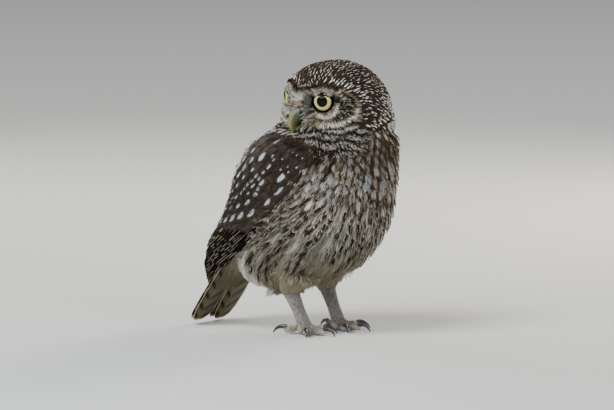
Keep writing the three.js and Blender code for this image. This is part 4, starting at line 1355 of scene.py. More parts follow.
    def skin(self, point: Array) -> Array:
        """Colours of the skin, which follow the coat over it, with painted shade under the face."""
        rng = np.random.default_rng(5)
        own = self.head.own(point)
        angles = face_angles(own)
        on_head = self.head.reach(point) > 0.8
        on_head &= point[:, 2] > 118
        face = self.face(own, rng)
        crown = self.crown(own, rng)
        # Painted shade: the skin under the face is darker than the face's own colours, as shade between its barbs.
        head = mix(mix(crown.ground, crown.dye, 0.2), face * 0.45, inside_disc(angles)[:, None])
        place = self.body.place_of(point)
        body = self.body_look(place[:, 0], place[:, 1], rng)
        plain = body.mark[:, :1] < 0
        coat = mix(body.ground, np.where(plain, body.ground, body.dye), 0.4)
        colour = np.where((on_head & (self.body.reach(point) > 0.9))[:, None], head, coat)
        leg = 1 - ramp(point[:, 2], 30, 36)
        colour = mix(colour, mix(Colours.toe, Colours.leg, ramp(point[:, 2], 6, 12)[:, None]), leg[:, None])
        sole = (1 - ramp(point[:, 2], 0.8, 2.0))[:, None]
        return mix(colour, srgb(150, 136, 104), sole)


class Foot:
    """One leg's lines and sizes."""

    out, joint_up = 16.0, 6.0
    heel_out, heel_up = 17.5, 30.0
    toes = {"inner": (-38.0, 14.0), "middle": (2.0, 17.5), "outer": (52.0, 14.5), "hind": (158.0, 14.0)}
    toe_line = ((-0.12, 5.0), (0.3, 4.0), (0.65, 2.9), (1.04, 3.0))
    toe_sizes = ((0, 3.4), (0.3, 2.92), (0.45, 2.4), (0.62, 2.9), (0.78, 2.4), (0.9, 2.5), (1, 1.4))

    def __init__(self, name: str, side: float, forward: float, heel_forward: float) -> None:
        """Takes the side and where the foot and heel are."""
        self.name, self.side, self.forward = name, side, forward
        self.joint = here(side * self.out, forward, self.joint_up)
        self.heel = here(side * self.heel_out, heel_forward, self.heel_up)
        self.hip = here(side * 18, -6, 47)

    def thigh(self) -> LimbForm:
        """The feathered thigh."""
        line = route([self.hip, mix(self.heel, self.hip, 0.45), mix(self.heel, self.joint, 0.02)])
        shares = (0, 0.1, 0.3, 0.5, 0.7, 0.85, 0.95, 1)
        sizes = Table([[v, mix(13.5, 5.6, v) * (1 - (2 * v - 1) ** 6) ** 0.5] for v in shares])
        return LimbForm(line, sizes, [1, 0, 0])

    def shank(self) -> LimbForm:
        """The lower leg."""
        line = route([mix(self.heel, self.joint, -0.15), mix(self.joint, self.heel, -0.02)])
        return LimbForm(line, Table([[0, 6.2], [0.55, 4.1], [1, 4.4]]), [1, 0, 0])

    def toe_way(self, toe: str) -> Array:
        """The level way that a toe points."""
        turn = math.radians(self.toes[toe][0]) * self.side
        return here(math.sin(turn), math.cos(turn), 0)

    def toe(self, name: str) -> LimbForm:
        """A toe, with its joints' pads."""
        way, length = self.toe_way(name), self.toes[name][1]
        ground = here(self.side * self.out, self.forward, 0)
        line = route([ground + way * length * share + [0, 0, up] for share, up in self.toe_line])
        return LimbForm(line, Table(self.toe_sizes), [way[1], -way[0], 0])

    def claw(self, name: str) -> LimbForm:
        """A claw, curved down to the floor."""
        way, length = self.toe_way(name), self.toes[name][1]
        base = here(self.side * self.out, self.forward, 4.5) + way * (length - 1.6)
        first, points = math.radians(22), []
        for share in np.linspace(0, 1, 7):
            slope = math.radians(22 - 92 * share)
            along = 7.0 * (math.sin(first) - math.sin(slope))
            points.append(base + way * along + [0, 0, 7.0 * (math.cos(slope) - math.cos(first))])
        sizes = []
        for v in np.linspace(0, 1, 9):
            half = mix(1.75, 0.28, v**1.2)
            sizes.append([v, half * 0.82, half])
        return LimbForm(route(points), Table(sizes), [way[1], -way[0], 0])


FEET = (Foot("right", -1.0, -2.0, -13.0), Foot("left", 1.0, 3.0, -8.0))


@dataclass
class Skin:
    """The one skin of body, head and legs, under the coat."""

    body_depth: float = 3.0
    head_depth: float = 1.9
    leg_depth: float = 0.6
    voxel: float = 0.9

    def shapes(self, head: HeadForm, body: RingForm) -> list[Shape]:
        """The closed shapes that melt into the skin."""
        place = pairs(np.concatenate([[29.5, 31], np.linspace(33, 157, 48)]), around(72))[..., ::-1]
        ends = here(0, -29, 31.5), here(0, 13, 155)
        trunk = closed(body.point(place) - body.normal(place) * self.body_depth, ends)
        way = ball(42, 72)[..., [1, 2, 0]]
        reach = [sign * (head.radius(np.array([0, sign, 0])) - self.head_depth) for sign in (1.0, -1.0)]
        skull = closed(head.point(way) - head.normal(way) * self.head_depth, [head.out([0, x, 0]) for x in reach])
        shapes = [trunk, skull, self.arm(1.0), self.arm(-1.0)]
        for foot in FEET:
            for form in (foot.thigh(), foot.shank(), *(foot.toe(name) for name in Foot.toes)):
                shapes.append(limb(form, np.linspace(0.02, 0.98, 30), 24, self.leg_depth)[:2])
            shapes.append(self.palm(foot))
        return shapes

    @staticmethod
    def arm(side: float) -> Shape:
        """The folded arm's flesh, a pad under the coverts."""
        form = WingForm(side)
        down = np.linspace(0.02, 0.6, 20)
        share = np.linspace(0, 1, 40, endpoint=False)
        over = np.where(share < 0.5, share * 2, 2 - share * 2)
        rounded = np.sqrt(np.maximum(np.sin(np.pi * over), 0))
        rounded = rounded * np.sin(np.pi * (down / 0.62) ** 0.7)[:, None] ** 0.5
        place = pairs(down, mix(0.08, 0.92, over))
        lift = np.where(share < 0.5, -1.2, -6.0) * rounded - 1.2
        points = form.point(place) + form.normal(place) * lift[..., None]
        return closed(points, [points[0].mean(0), points[-1].mean(0)])

    @staticmethod
    def palm(foot: Foot) -> Shape:
        """The pad where the toes meet."""
        centre, half = here(foot.side * foot.out, foot.forward, 3.6), 3.6
        return closed(centre + ball(14, 24) * [5.2, 5.2, half], centre + np.array([[0, 0, half], [0, 0, -half]]))

    def build(self, shop: Workshop, plumage: Plumage) -> None:
        """Melts the shapes into one skin and dresses it."""
        raw = put("skin_shapes", shop.mesh("skin_shapes", *joined(self.shapes(plumage.head, plumage.body))))
        melt = raw.modifiers.new("melt", "REMESH")
        melt.mode, melt.voxel_size, melt.use_smooth_shade = "VOXEL", self.voxel * MM, True
        smooth = raw.modifiers.new("smooth", "SMOOTH")
        smooth.factor, smooth.iterations = 0.5, 3
        ready, where = shop.grown(raw, "skin")
        shop.carry(ready, "Tint", plumage.skin(where / MM + shop.shift))
        legs = tuple(f"{part}_{foot.name}" for foot in FEET for part in ("thigh", "shank", "foot"))
        shop.piece(ready, "plumage", [SkinFinish("skin")], ("torso", "neck", "head", *legs))


class BodyCoat:
    """The contour feathers of breast, belly, flanks, back and rump, in columns down the body."""

    spacing, step = 6.2, 6.4

    def __init__(self, plumage: Plumage, seed: int = 11) -> None:
        """Takes the looks, and the seed of all that is random in this coat."""
        self.plumage, self.form = plumage, plumage.body
        self.rng = np.random.default_rng(seed)
        self.growth = Growth(self.form, seed + 1)

    @staticmethod
    def drift(turn: Array, height: Array) -> Array:
        """How the columns lean to the back on their way down, in radians a millimetre."""
        aside = np.degrees(np.abs(turn))
        lean = 0.88 * ramp(aside, 20, 82) * (1 - ramp(aside, 118, 140)) * ramp(height, 38, 80)
        return np.sign(turn) * np.radians(lean * (1 - 0.4 * ramp(height, 98, 125)))

    def columns(self) -> tuple[Array, Array]:
        """The feathers' turns and heights, and their columns."""
        count = int(2 * np.pi * 49 / self.spacing)
        first = (np.arange(count) + 0.5) / count * 2 * np.pi - np.pi
        first = first + self.rng.normal(0, 0.015, count)
        phase = (np.arange(count) % 2) * 0.5
        found = []
        for direction in (-1.0, 1.0):
            turn, height = first.copy(), 95 - phase * self.step
            for k in range(26):
                if direction < 0 or k > 0:
                    found.append(np.stack([turn, height], -1))
                _, rise = self.form.slopes(np.stack([turn, height], -1))
                closer = np.interp(height, [40, 60, 110, 130], [0.85, 1, 1, 0.72])
                drop = self.step / np.linalg.norm(rise, axis=-1) * closer
                turn = turn - direction * self.drift(turn, height) * drop
                height = height + direction * drop
        places = np.concatenate(found)
        column = np.tile(np.arange(count), len(found))
        inside = (places[:, 1] > 30) & (places[:, 1] < 150)
        places, column = places[inside], column[inside]
        places = places + self.rng.normal(0, 1, places.shape) * [0.012, 0.5]
        return places, column

    def kept(self, place: Array) -> Array:
        """Which places aren't hidden under a wing or in the head."""
        point = self.form.point(place)
        aside = np.degrees(np.abs(place[:, 0]))
        edges = Table(COAT_EDGES)(place[:, 1])
        margin = np.interp(place[:, 1], [54, 60, 66, 84], [30, 1, 0.5, 5])
        under = (aside > edges[:, 0] + margin) & (aside < edges[:, 1] - 7)
        under &= (place[:, 1] < 128) & (place[:, 1] > 28)
        return ~under & (self.plumage.head.reach(point) > 1.05)

    def ways(self, home: Array) -> Array:
        """How the feathers lie: down the columns, a little disturbed."""
        fall = np.stack([self.drift(home[:, 0], home[:, 1]), -np.ones(len(home))], -1)
        a, b = self.form.slopes(home)
        way = unit(a * fall[:, :1] + b * fall[:, 1:])
        return unit(way + np.cross(self.form.normal(home), way) * self.rng.normal(0, 0.06, (len(home), 1)))

    def heights(self, home: Array, ends: Array) -> tuple[Array, Array]:
        """How high the feathers' roots and ends stand, at the folded wings' edges and on the shoulders."""
        aside, height = np.degrees(np.abs(home[:, 0])), home[:, 1]
        edges = Table(COAT_EDGES)(height)
        flank = (1 - ramp(aside, 120, 140)) * mix(0.35 * ramp(height, 50, 60), 1.0, ramp(height, 70, 82))
        near = ramp(aside, edges[:, 0] - 17, edges[:, 0] - 2) * flank
        behind = ramp(aside, edges[:, 1] - 12, edges[:, 1] - 2)
        behind = behind * ramp(height, 60, 75) * (1 - ramp(height, 108, 122))
        top = ramp(height, 110, 120) * (1 - ramp(height, 126, 134))
        top = top * ramp(aside, 55, 70) * (1 - ramp(aside, 110, 130))
        low = -3.2 + 1.2 * near * (1 - top) + 1.5 * behind + top * (self.plumage.stand(home) + 1.4)
        high = 0.2 + 3.2 * np.maximum(near * (1 - top), 0.75 * behind) + top * (self.plumage.stand(ends) + 1.0)
        return low, high

    def lot(self) -> tuple[Lot, Array]:
        """All the coat's feathers, and which of them are the back's."""
        rng = self.rng
        home, column = self.columns()
        kept = self.kept(home)
        home, column = home[kept], column[kept]
        home[:, 0] = (home[:, 0] + np.pi) % (2 * np.pi) - np.pi
        turn, height = home[:, 0], home[:, 1]
        aside = np.degrees(np.abs(turn))
        way = self.ways(home)
        small = ramp(height, 118, 134)
        longer = mix(1.0, 1.12, 1 - ramp(height, 40, 60))
        length = mix(15.5, 9.0, small) * (0.88 + 0.24 * rng.random(len(home))) * longer
        width = mix(9.0, 6.2, small) * (0.9 + 0.2 * rng.random(len(home)))
        low, high = self.heights(home, home + self.form.steer(home, way) * length[:, None])
        look = self.plumage.body_look(turn, height, rng, column)
        high = high + 0.7 * ((look.mark[:, 0] > 0) & (height < 95))
        back = (aside > Table(COAT_EDGES)(height)[:, 0] + 6) & (height > 54) | (aside > 84) & (height > 116)
        back &= (height < 127) | (aside > 112)
        return Lot(home, way, length, width, low, high, home, look), back

    def build(self, shop: Workshop) -> None:
        """Grows the coat and dresses it."""
        lot, back = self.lot()
        height = lot.home[:, 1]
        finish = FeatherFinish("contour_feather", barbs=14.0, shaft=0.0, soft=0.4, ragged=1.9)
        kinds = ("breast", ~back, 0.92, 1.0, PLUME), ("back", back, 1.0, 1.15, QUILL)
        for name, chosen, longer, wider, cut in kinds:
            part = lot.pick(chosen)
            veiled = (0.62 * ramp(height, 95, 110) * ~back)[chosen, None]
            part.look.dye = mix(part.look.dye, part.look.ground, veiled)
            part = replace(part, length=part.length * longer, width=part.width * wider, high=part.high - 0.3)
            shop.coat(f"{name}_feathers", "plumage", finish, [self.growth.vanes(part, cut)])
        front = np.flatnonzero(~back)
        parts = np.array_split(front[np.argsort(height[front])], 4)
        for label, chosen in zip(("belly", "lower_breast", "breast", "throat"), parts):
            soft = 1 - ramp(float(height[chosen].mean()), 60, 115)
            size = float(mix(5.0, 7.2, soft)), float(mix(0.6, 0.66, soft))
            barbs = self.growth.barbs(lot.pick(chosen), 27, size, 17.0, float(mix(0.4, 0.8, soft)))
            shop.coat(f"{label}_barbs", "plumage", BARBS, [barbs])
        rear = lot.pick(back)
        rear = replace(rear, width=rear.width * 1.1, high=rear.high - 0.4)
        shop.coat("back_barbs", "plumage", BARBS, [self.growth.barbs(rear, 8, (4.0, 0.5), 16.0, 0.3, (0.3, 0.85))])
        self.ruff(shop, count=15000)

    def ruff(self, shop: Workshop, count: int) -> None:
        """The speckled barbs that fan out below the face, over shoulder and throat."""
        rng, head = self.rng, self.plumage.head
        home = np.stack([rng.uniform(-np.pi, np.pi, count), rng.uniform(119, 140, count)], -1)
        angles = face_angles(head.own(self.form.point(home)))
        reach = head.reach(self.form.point(home))
        dense = (1 - ramp(angles[:, 0], 72, 84)) * ramp(home[:, 1] + rng.normal(0, 1.2, count), 121, 124)
        dense = dense * (1 - ramp(reach, 1.08, 1.26))
        home = home[(dense > rng.random(count)) & (reach > 0.93)]
        count = len(home)
        point, out = self.form.point(home), self.form.normal(home)
        angles = face_angles(head.own(point))
        way = along_surface(point - head.out([0, 26, 2]), out)
        way = unit(way + rng.normal(0, 3, way.shape) - [0, 0, 8])
        length = rng.uniform(2.0, 3.6, count)
        rise = mix(-0.6, rng.uniform(0.8, 2.0, (count, 1)), np.array(BARB.shares))
        rise = self.plumage.stand(home)[:, None] + rise
        rings = strands(point, way, length, out, rise, rng.uniform(0.32, 0.55, count), thick=0.22)
        wave = np.cos(2 * np.pi * angles[:, 1] / 6.5 + np.sin(angles[:, 0] / 5.0))
        pale = rng.random(count) < 0.42 + 0.38 * wave
        tone = mix(Colours.grey, Colours.white, rng.random((count, 1)))
        colour = swap(mix(Colours.black, Colours.breast, 0.6 * rng.random((count, 1))), pale, tone)
        batch = Batch.of(rings, BARB, Look.plain(colour), home * [10.0, 1.0], rng.random(count))
        shop.coat("ruff_barbs", "plumage", FACE_BARBS, [batch])


class HeadCoat:
    """The feathers of the head: small ones on crown and nape, and the smallest on the face."""

    def __init__(self, plumage: Plumage, seed: int = 31) -> None:
        """Takes the looks, and the seed of all that is random in this coat."""
        self.plumage, self.form = plumage, plumage.head
        self.rng = np.random.default_rng(seed)
        self.growth = Growth(self.form, seed + 1)

    def spread(self, count: int) -> Array:
        """Ways spread evenly round the head, a little disturbed."""
        k = np.arange(count) + 0.5
        polar, turn = np.arccos(1 - 2 * k / count), GOLDEN * k
        q = np.stack([np.cos(turn) * np.sin(polar), np.sin(turn) * np.sin(polar), np.cos(polar)], -1)
        return unit(q + self.rng.normal(0, 0.35 / math.sqrt(count), q.shape))

    def clear(self, q: Array, margin: float = 0.94) -> Array:
        """Which ways come out of the body, off the eyes and off the bill."""
        point = self.form.point(q)
        outside = (self.plumage.body.reach(point) > margin) | (point[:, 2] > 157)
        for sign in (1.0, -1.0):
            centre, _, way = eye_place(self.form, sign)
            off = point - centre
            along = off @ way
            outside &= (np.linalg.norm(off - along[:, None] * way, axis=1) > EYE.clear) | (along < 0)
        own = self.form.own(point)
        bill = (np.abs(own[:, 0]) / 6.4) ** 2 + ((own[:, 2] + 0.5) / 8.6) ** 2 < 1
        return outside & ~(bill & (own[:, 1] > 10))

    def lie(self, q: Array) -> Array:
        """The way that the feathers lie at each place."""
        angles = face_angles(q)
        front, up = q[:, 1], q[:, 2]
        back = 0.25 + 0.75 * ramp(up, -0.45, 0.3)
        rise = mix(-0.75, 0.7, ramp(front, -0.1, 0.65))
        flow = np.stack([0.15 * q[:, 0], -back, rise], -1)
        low = ramp(-up, -0.1, 0.45)[:, None]
        flow = mix(flow, np.stack([0.25 * q[:, 0], -0.25 + 0 * front, -np.ones(len(q))], -1), low)
        disc = inside_disc(angles)
        eye = unit(np.stack([np.sign(q[:, 0] + 1e-9) * EYE.side, EYE.forward + 0 * front, EYE.up + 0 * front], -1))
        radial = unit(q - eye)
        bill = unit(q - unit(np.array([0, 30.0, 1.0])))
        centre = bell(angles[:, 0], 13)[:, None] * ramp(angles[:, 1], -8, 4)[:, None]
        radial = unit(mix(radial, bill, 0.8 * centre))
        flow = mix(unit(flow), radial, disc[:, None])
        return unit(self.form.way(along_surface(flow, q)))

    @staticmethod
    def spots(q: Array) -> Array:
        """Where feathers lie on the map, by their places."""
        return np.stack([np.arctan2(q[:, 0], q[:, 1]), face_angles(q)[:, 1]], -1)

    def build(self, shop: Workshop) -> None:
        """Grows the head's coat and dresses it."""
        self.crown(shop)
        self.face(shop)

    def crown(self, shop: Workshop) -> None:
        """The crown, nape, sides and throat."""
        rng = self.rng
        q = self.spread(3400)
        q = q[self.clear(q)]
        q = q[inside_disc(face_angles(q)) < 0.6]
        nape = np.clip(ramp(-q[:, 1], 0.1, 0.75) + ramp(-q[:, 2], -0.35, 0.3), 0, 1)
        way = self.lie(q)
        way = unit(way + np.cross(self.form.normal(q), way) * rng.normal(0, 0.07, (len(q), 1)))
        length = mix(6.4, 9.2, nape) * (0.85 + 0.3 * rng.random(len(q)))
        width = mix(3.3, 5.0, nape)
        near = inside_disc(face_angles(q) - [3, 0])
        length, width = length * mix(1, 0.75, near), width * mix(1, 0.8, near)
        low = ramp(-q[:, 2], -0.35, 0.05) * ramp(-q[:, 1], -0.2, 0.4)
        ruff = ramp(-face_angles(q)[:, 1], 14, 22) * ramp(q[:, 1], -0.2, 0.2)
        length = length * (1 + 0.3 * ruff)
        look = self.plumage.crown(q, rng)
        root, tip = -1.5 + 1.5 * low + 0.8 * ruff, mix(0.2, 0.8, nape) + 2.4 * low + 1.6 * ruff
        lot = Lot(q, way, length, width, root, tip, self.spots(q), look)
        finish = FeatherFinish("small_feather", barbs=9.0, shaft=0.0, ragged=1.3)
        shop.coat("crown_feathers", "plumage", finish, [self.growth.vanes(lot, thick=0.25)])
        barbs = self.growth.barbs(lot, 5, (2.4, 0.36), 14.0, 0.25, (0.35, 0.9))
        shop.coat("crown_barbs", "plumage", BARBS, [barbs])

    def single(self, q: Array, way: Array, length: Array, tip: Array) -> Batch:
        """Single barbs that carry the face's own colours along them.

        Args:
            q: their places. way: how they lie. length: their lengths. tip: how far their tips stand off.

        Returns:
            The barbs.
        """
        rng = self.rng
        place = run(q, self.form.steer(q, way), length, BARB)
        high = mix(-1.5, tip[:, None], np.array(BARB.shares) ** 1.1)
        rings = laid(self.form, place, high, 0.42 * (0.75 + 0.5 * rng.random(len(q))), BARB, 0.22)
        colour = self.plumage.face(place, rng)
        return Batch.of(rings, BARB, Look.plain(colour[:, 0]), self.spots(q), rng.random(len(q)), colour)

    def face(self, shop: Workshop) -> None:
        """The facial discs, brows and lores."""
        rng = self.rng
        q = self.spread(30000)
        q = q[inside_disc(face_angles(q)) > 0.3]
        q = q[self.clear(q)]
        way = self.lie(q)
        out = self.form.normal(q)
        angles = face_angles(q)
        lores = bell(angles[:, 0] - 8, 9) * bell(angles[:, 1] - 6, 13)
        way = unit(way + np.cross(out, way) * rng.normal(0, 1, (len(q), 1)) * mix(0.12, 0.3, lores)[:, None])
        eye = np.hypot((angles - EYE_ANGLES)[:, 0] * 0.9, (angles - EYE_ANGLES)[:, 1])
        brow = bell(to_line(angles, FACE_STROKES[4].line), 4)
        length = mix(2.3, 3.6, np.maximum(ramp(eye, 13, 26), brow))
        length = length * (0.75 + 0.5 * rng.random(len(q))) * mix(1, 1.8, lores)
        inner = np.maximum(bell(angles[:, 0] - 13, 7), 0.55 * bell(angles[:, 0], 9)) * bell(angles[:, 1] - 20, 11)
        length = length * (1 + 1.1 * inner)
        chin = ramp(-angles[:, 1], 6, 16)
        length = length * (1 + 0.6 * chin)
        tip = -0.2 + 1.4 * brow + 0.9 * lores + 4.6 * inner + 1.4 * chin
        shop.coat("face_barbs", "plumage", FACE_BARBS, [self.single(q, way, length, tip)])
        count = 420
        strips = [part for sign in (1.0, -1.0) for part in (self.brow(sign, count), self.lores(sign, count))]
        shop.coat("brow_barbs", "plumage", FACE_BARBS, strips)

    def brow(self, sign: float, count: int) -> Batch:
        """The strands that hang over an eye's upper lid, from its inner corner to the outer one."""
        rng, rays = self.rng, np.array(BARB.shares)
        centre, _, gaze = eye_place(self.form, sign)
        up = unit(along_surface(self.form.way([0, 0, 1]), gaze))
        outer = unit(np.cross(up, gaze)) * sign
        outer = outer * np.sign(outer @ self.form.way([sign, 0, 0]))
        angle = np.radians(rng.uniform(62, 165, count))
        reach = rng.uniform(5.2, 9.6, count)
        spoke = outer * np.cos(angle)[:, None] + up * np.sin(angle)[:, None]
        along = unit(outer * np.sin(angle)[:, None] - up * np.cos(angle)[:, None])
        way = unit(along - 0.12 * spoke + 0.13 * rng.normal(0, 1, (count, 1)) * spoke)
        flat = run(spoke * reach[:, None], way, rng.uniform(2.6, 4.6, count), BARB)
        level = over_eye(np.linalg.norm(flat, axis=-1), 0.45)
        level = level + mix(0.1, rng.uniform(0.9, 1.7, (count, 1)), rays**0.7)
        line = centre + flat + gaze * level[..., None]
        rings = sweep(line, np.broadcast_to(gaze, line.shape), rng.uniform(0.26, 0.46, count), BARB, 0.2)
        pale = mix(srgb(128, 116, 92), srgb(230, 226, 212), rng.random((count, 1)) ** 1.1)
        tone = swap(pale, rng.random(count) < 0.18, Colours.dark)
        home = np.stack([sign * (2 + np.cos(angle) * reach / 10), np.sin(angle) * reach / 10], -1)
        return Batch.of(rings, BARB, Look.plain(tone), home, rng.random(count))

    def lores(self, sign: float, count: int) -> Batch:
        """The strands that stand out from the bridge of the bill to one eye's inner corner."""
        rng = self.rng
        across, up = rng.uniform(2.0, 5.5, count) * sign, rng.uniform(2.0, 16.0, count)
        q = unit(np.stack([across, np.sqrt(32.0**2 - across**2 - up**2), up], -1))
        aim = np.stack([sign * rng.uniform(0.6, 1.0, count), 0.25 + 0 * up, 0.25 + rng.normal(0, 0.2, count)], -1)
        out = self.form.normal(q)
        way = unit(along_surface(self.form.way(aim), out))
        length = rng.uniform(3.6, 6.0, count)
        tip = rng.uniform(3.2, 4.8, (count, 1)) * bell(up - 11, 7)[:, None] + 0.3
        rise = mix(-0.6, tip, np.array(BARB.shares))
        rings = strands(self.form.point(q), way, length, out, rise, rng.uniform(0.28, 0.5, count))
        pale = mix(Colours.grey * 0.4, Colours.white * 0.7, rng.random((count, 1)))
        tone = swap(pale, rng.random(count) < 0.26, Colours.dark)
        home = np.stack([sign * (0.2 + np.abs(across) / 8), up / 10 - 2.5], -1)
        return Batch.of(rings, BARB, Look.plain(tone), home, rng.random(count))


@dataclass(frozen=True)
class Tier:
    """A tier of wing coverts: the places of their pale marks, and their reach, width, mark size and added lift."""

    marks: tuple[tuple[float, float], ...]
    reach: float
    width: float
    mark: tuple[float, float]
    lift: float = 0.0


@dataclass(frozen=True)
class Fan:
    """A tier of long wing feathers: number, places that they run through, width, lift, stack, notches and rim."""

    count: int
    roots: tuple[tuple[float, float], ...]
    middles: tuple[tuple[float, float], ...]
    tips: tuple[tuple[float, float], ...]
    width: float
    lift: tuple[float, float]
    stack: float
    notches: tuple[float, float, float]
    rim: float


COVERTS = (
    Tier(((0.216, 0.887), (0.299, 0.965), (0.379, 0.955), (0.461, 0.882), (0.491, 0.765), (0.515, 0.65),
          (0.531, 0.516), (0.55, 0.34), (0.571, 0.16)), 0.25, 11.5, (4.2, 1.9)),
    Tier(((0.261, 0.724), (0.301, 0.729), (0.34, 0.75), (0.4, 0.72), (0.435, 0.6), (0.46, 0.44), (0.475, 0.28),
          (0.49, 0.12)), 0.2, 9.5, (2.3, 1.6)),
    Tier(((0.24, 0.66), (0.285, 0.64), (0.345, 0.64), (0.375, 0.56), (0.41, 0.47), (0.43, 0.34), (0.44, 0.2),
          (0.455, 0.05)), 0.18, 9.0, (1.9, 1.2), 0.2),
    Tier(((0.108, 0.659), (0.154, 0.672), (0.196, 0.659), (0.224, 0.604), (0.255, 0.584), (0.285, 0.561),
          (0.315, 0.545), (0.345, 0.531), (0.385, 0.459), (0.4, 0.36), (0.41, 0.24)),
         0.16, 8.5, (2.0, 1.15), 0.5),
    Tier(((0.15, 0.95), (0.182, 0.91), (0.148, 0.862), (0.17, 0.82), (0.102, 0.747), (0.076, 0.86),
          (0.058, 0.797), (0.09, 0.93)), 0.14, 7.5, (0.8, 0.7), 0.3),
    Tier(((0.09, 0.62), (0.19, 0.5), (0.25, 0.43), (0.31, 0.36), (0.36, 0.26), (0.41, 0.12)),
         0.2, 11.0, (1.6, 1.1), 0.9),
    Tier(((0.126, 0.368), (0.186, 0.323), (0.236, 0.27), (0.285, 0.2), (0.377, 0.173), (0.092, 0.489),
          (0.34, 0.05)), 0.2, 11.5, (3.2, 1.8), 1.2),
    Tier(((0.064, 0.243), (0.0, 0.479), (0.132, 0.16), (0.19, 0.12), (0.25, 0.09), (0.303, 0.03), (0.09, 0.09),
          (0.132, -0.02), (0.236, -0.06)), 0.18, 11.5, (3.0, 1.6), 1.7),
)
FANS = (
    Fan(9, ((0.47, 1.0), (0.47, 0.84), (0.50, 0.68)), ((0.735, 1.36), (0.70, 1.05), (0.68, 0.80)),
        ((1.02, 1.9), (0.965, 1.06), (0.885, 0.62)), 8.0, (-3.4, -1.6), 2.8, (7.0, 0.05, 1.3), 0.9),
    Fan(7, ((0.47, 0.80), (0.49, 0.55), (0.51, 0.2)), ((0.665, 0.84), (0.64, 0.60), (0.60, 0.3)),
        ((0.90, 0.68), (0.80, 0.45), (0.695, 0.22)), 8.5, (-2.0, -0.2), 1.8, (5.0, 0.1, 0.7), 0.85),
    Fan(6, ((0.45, 0.5), (0.47, 0.3), (0.48, 0.0)), ((0.57, 0.45), (0.57, 0.25), (0.58, 0.02)),
        ((0.69, 0.5), (0.67, 0.3), (0.65, 0.05)), 9.5, (-1.4, 0.9), 0.5, (3.0, 0.13, 0.6), 0.8),
)


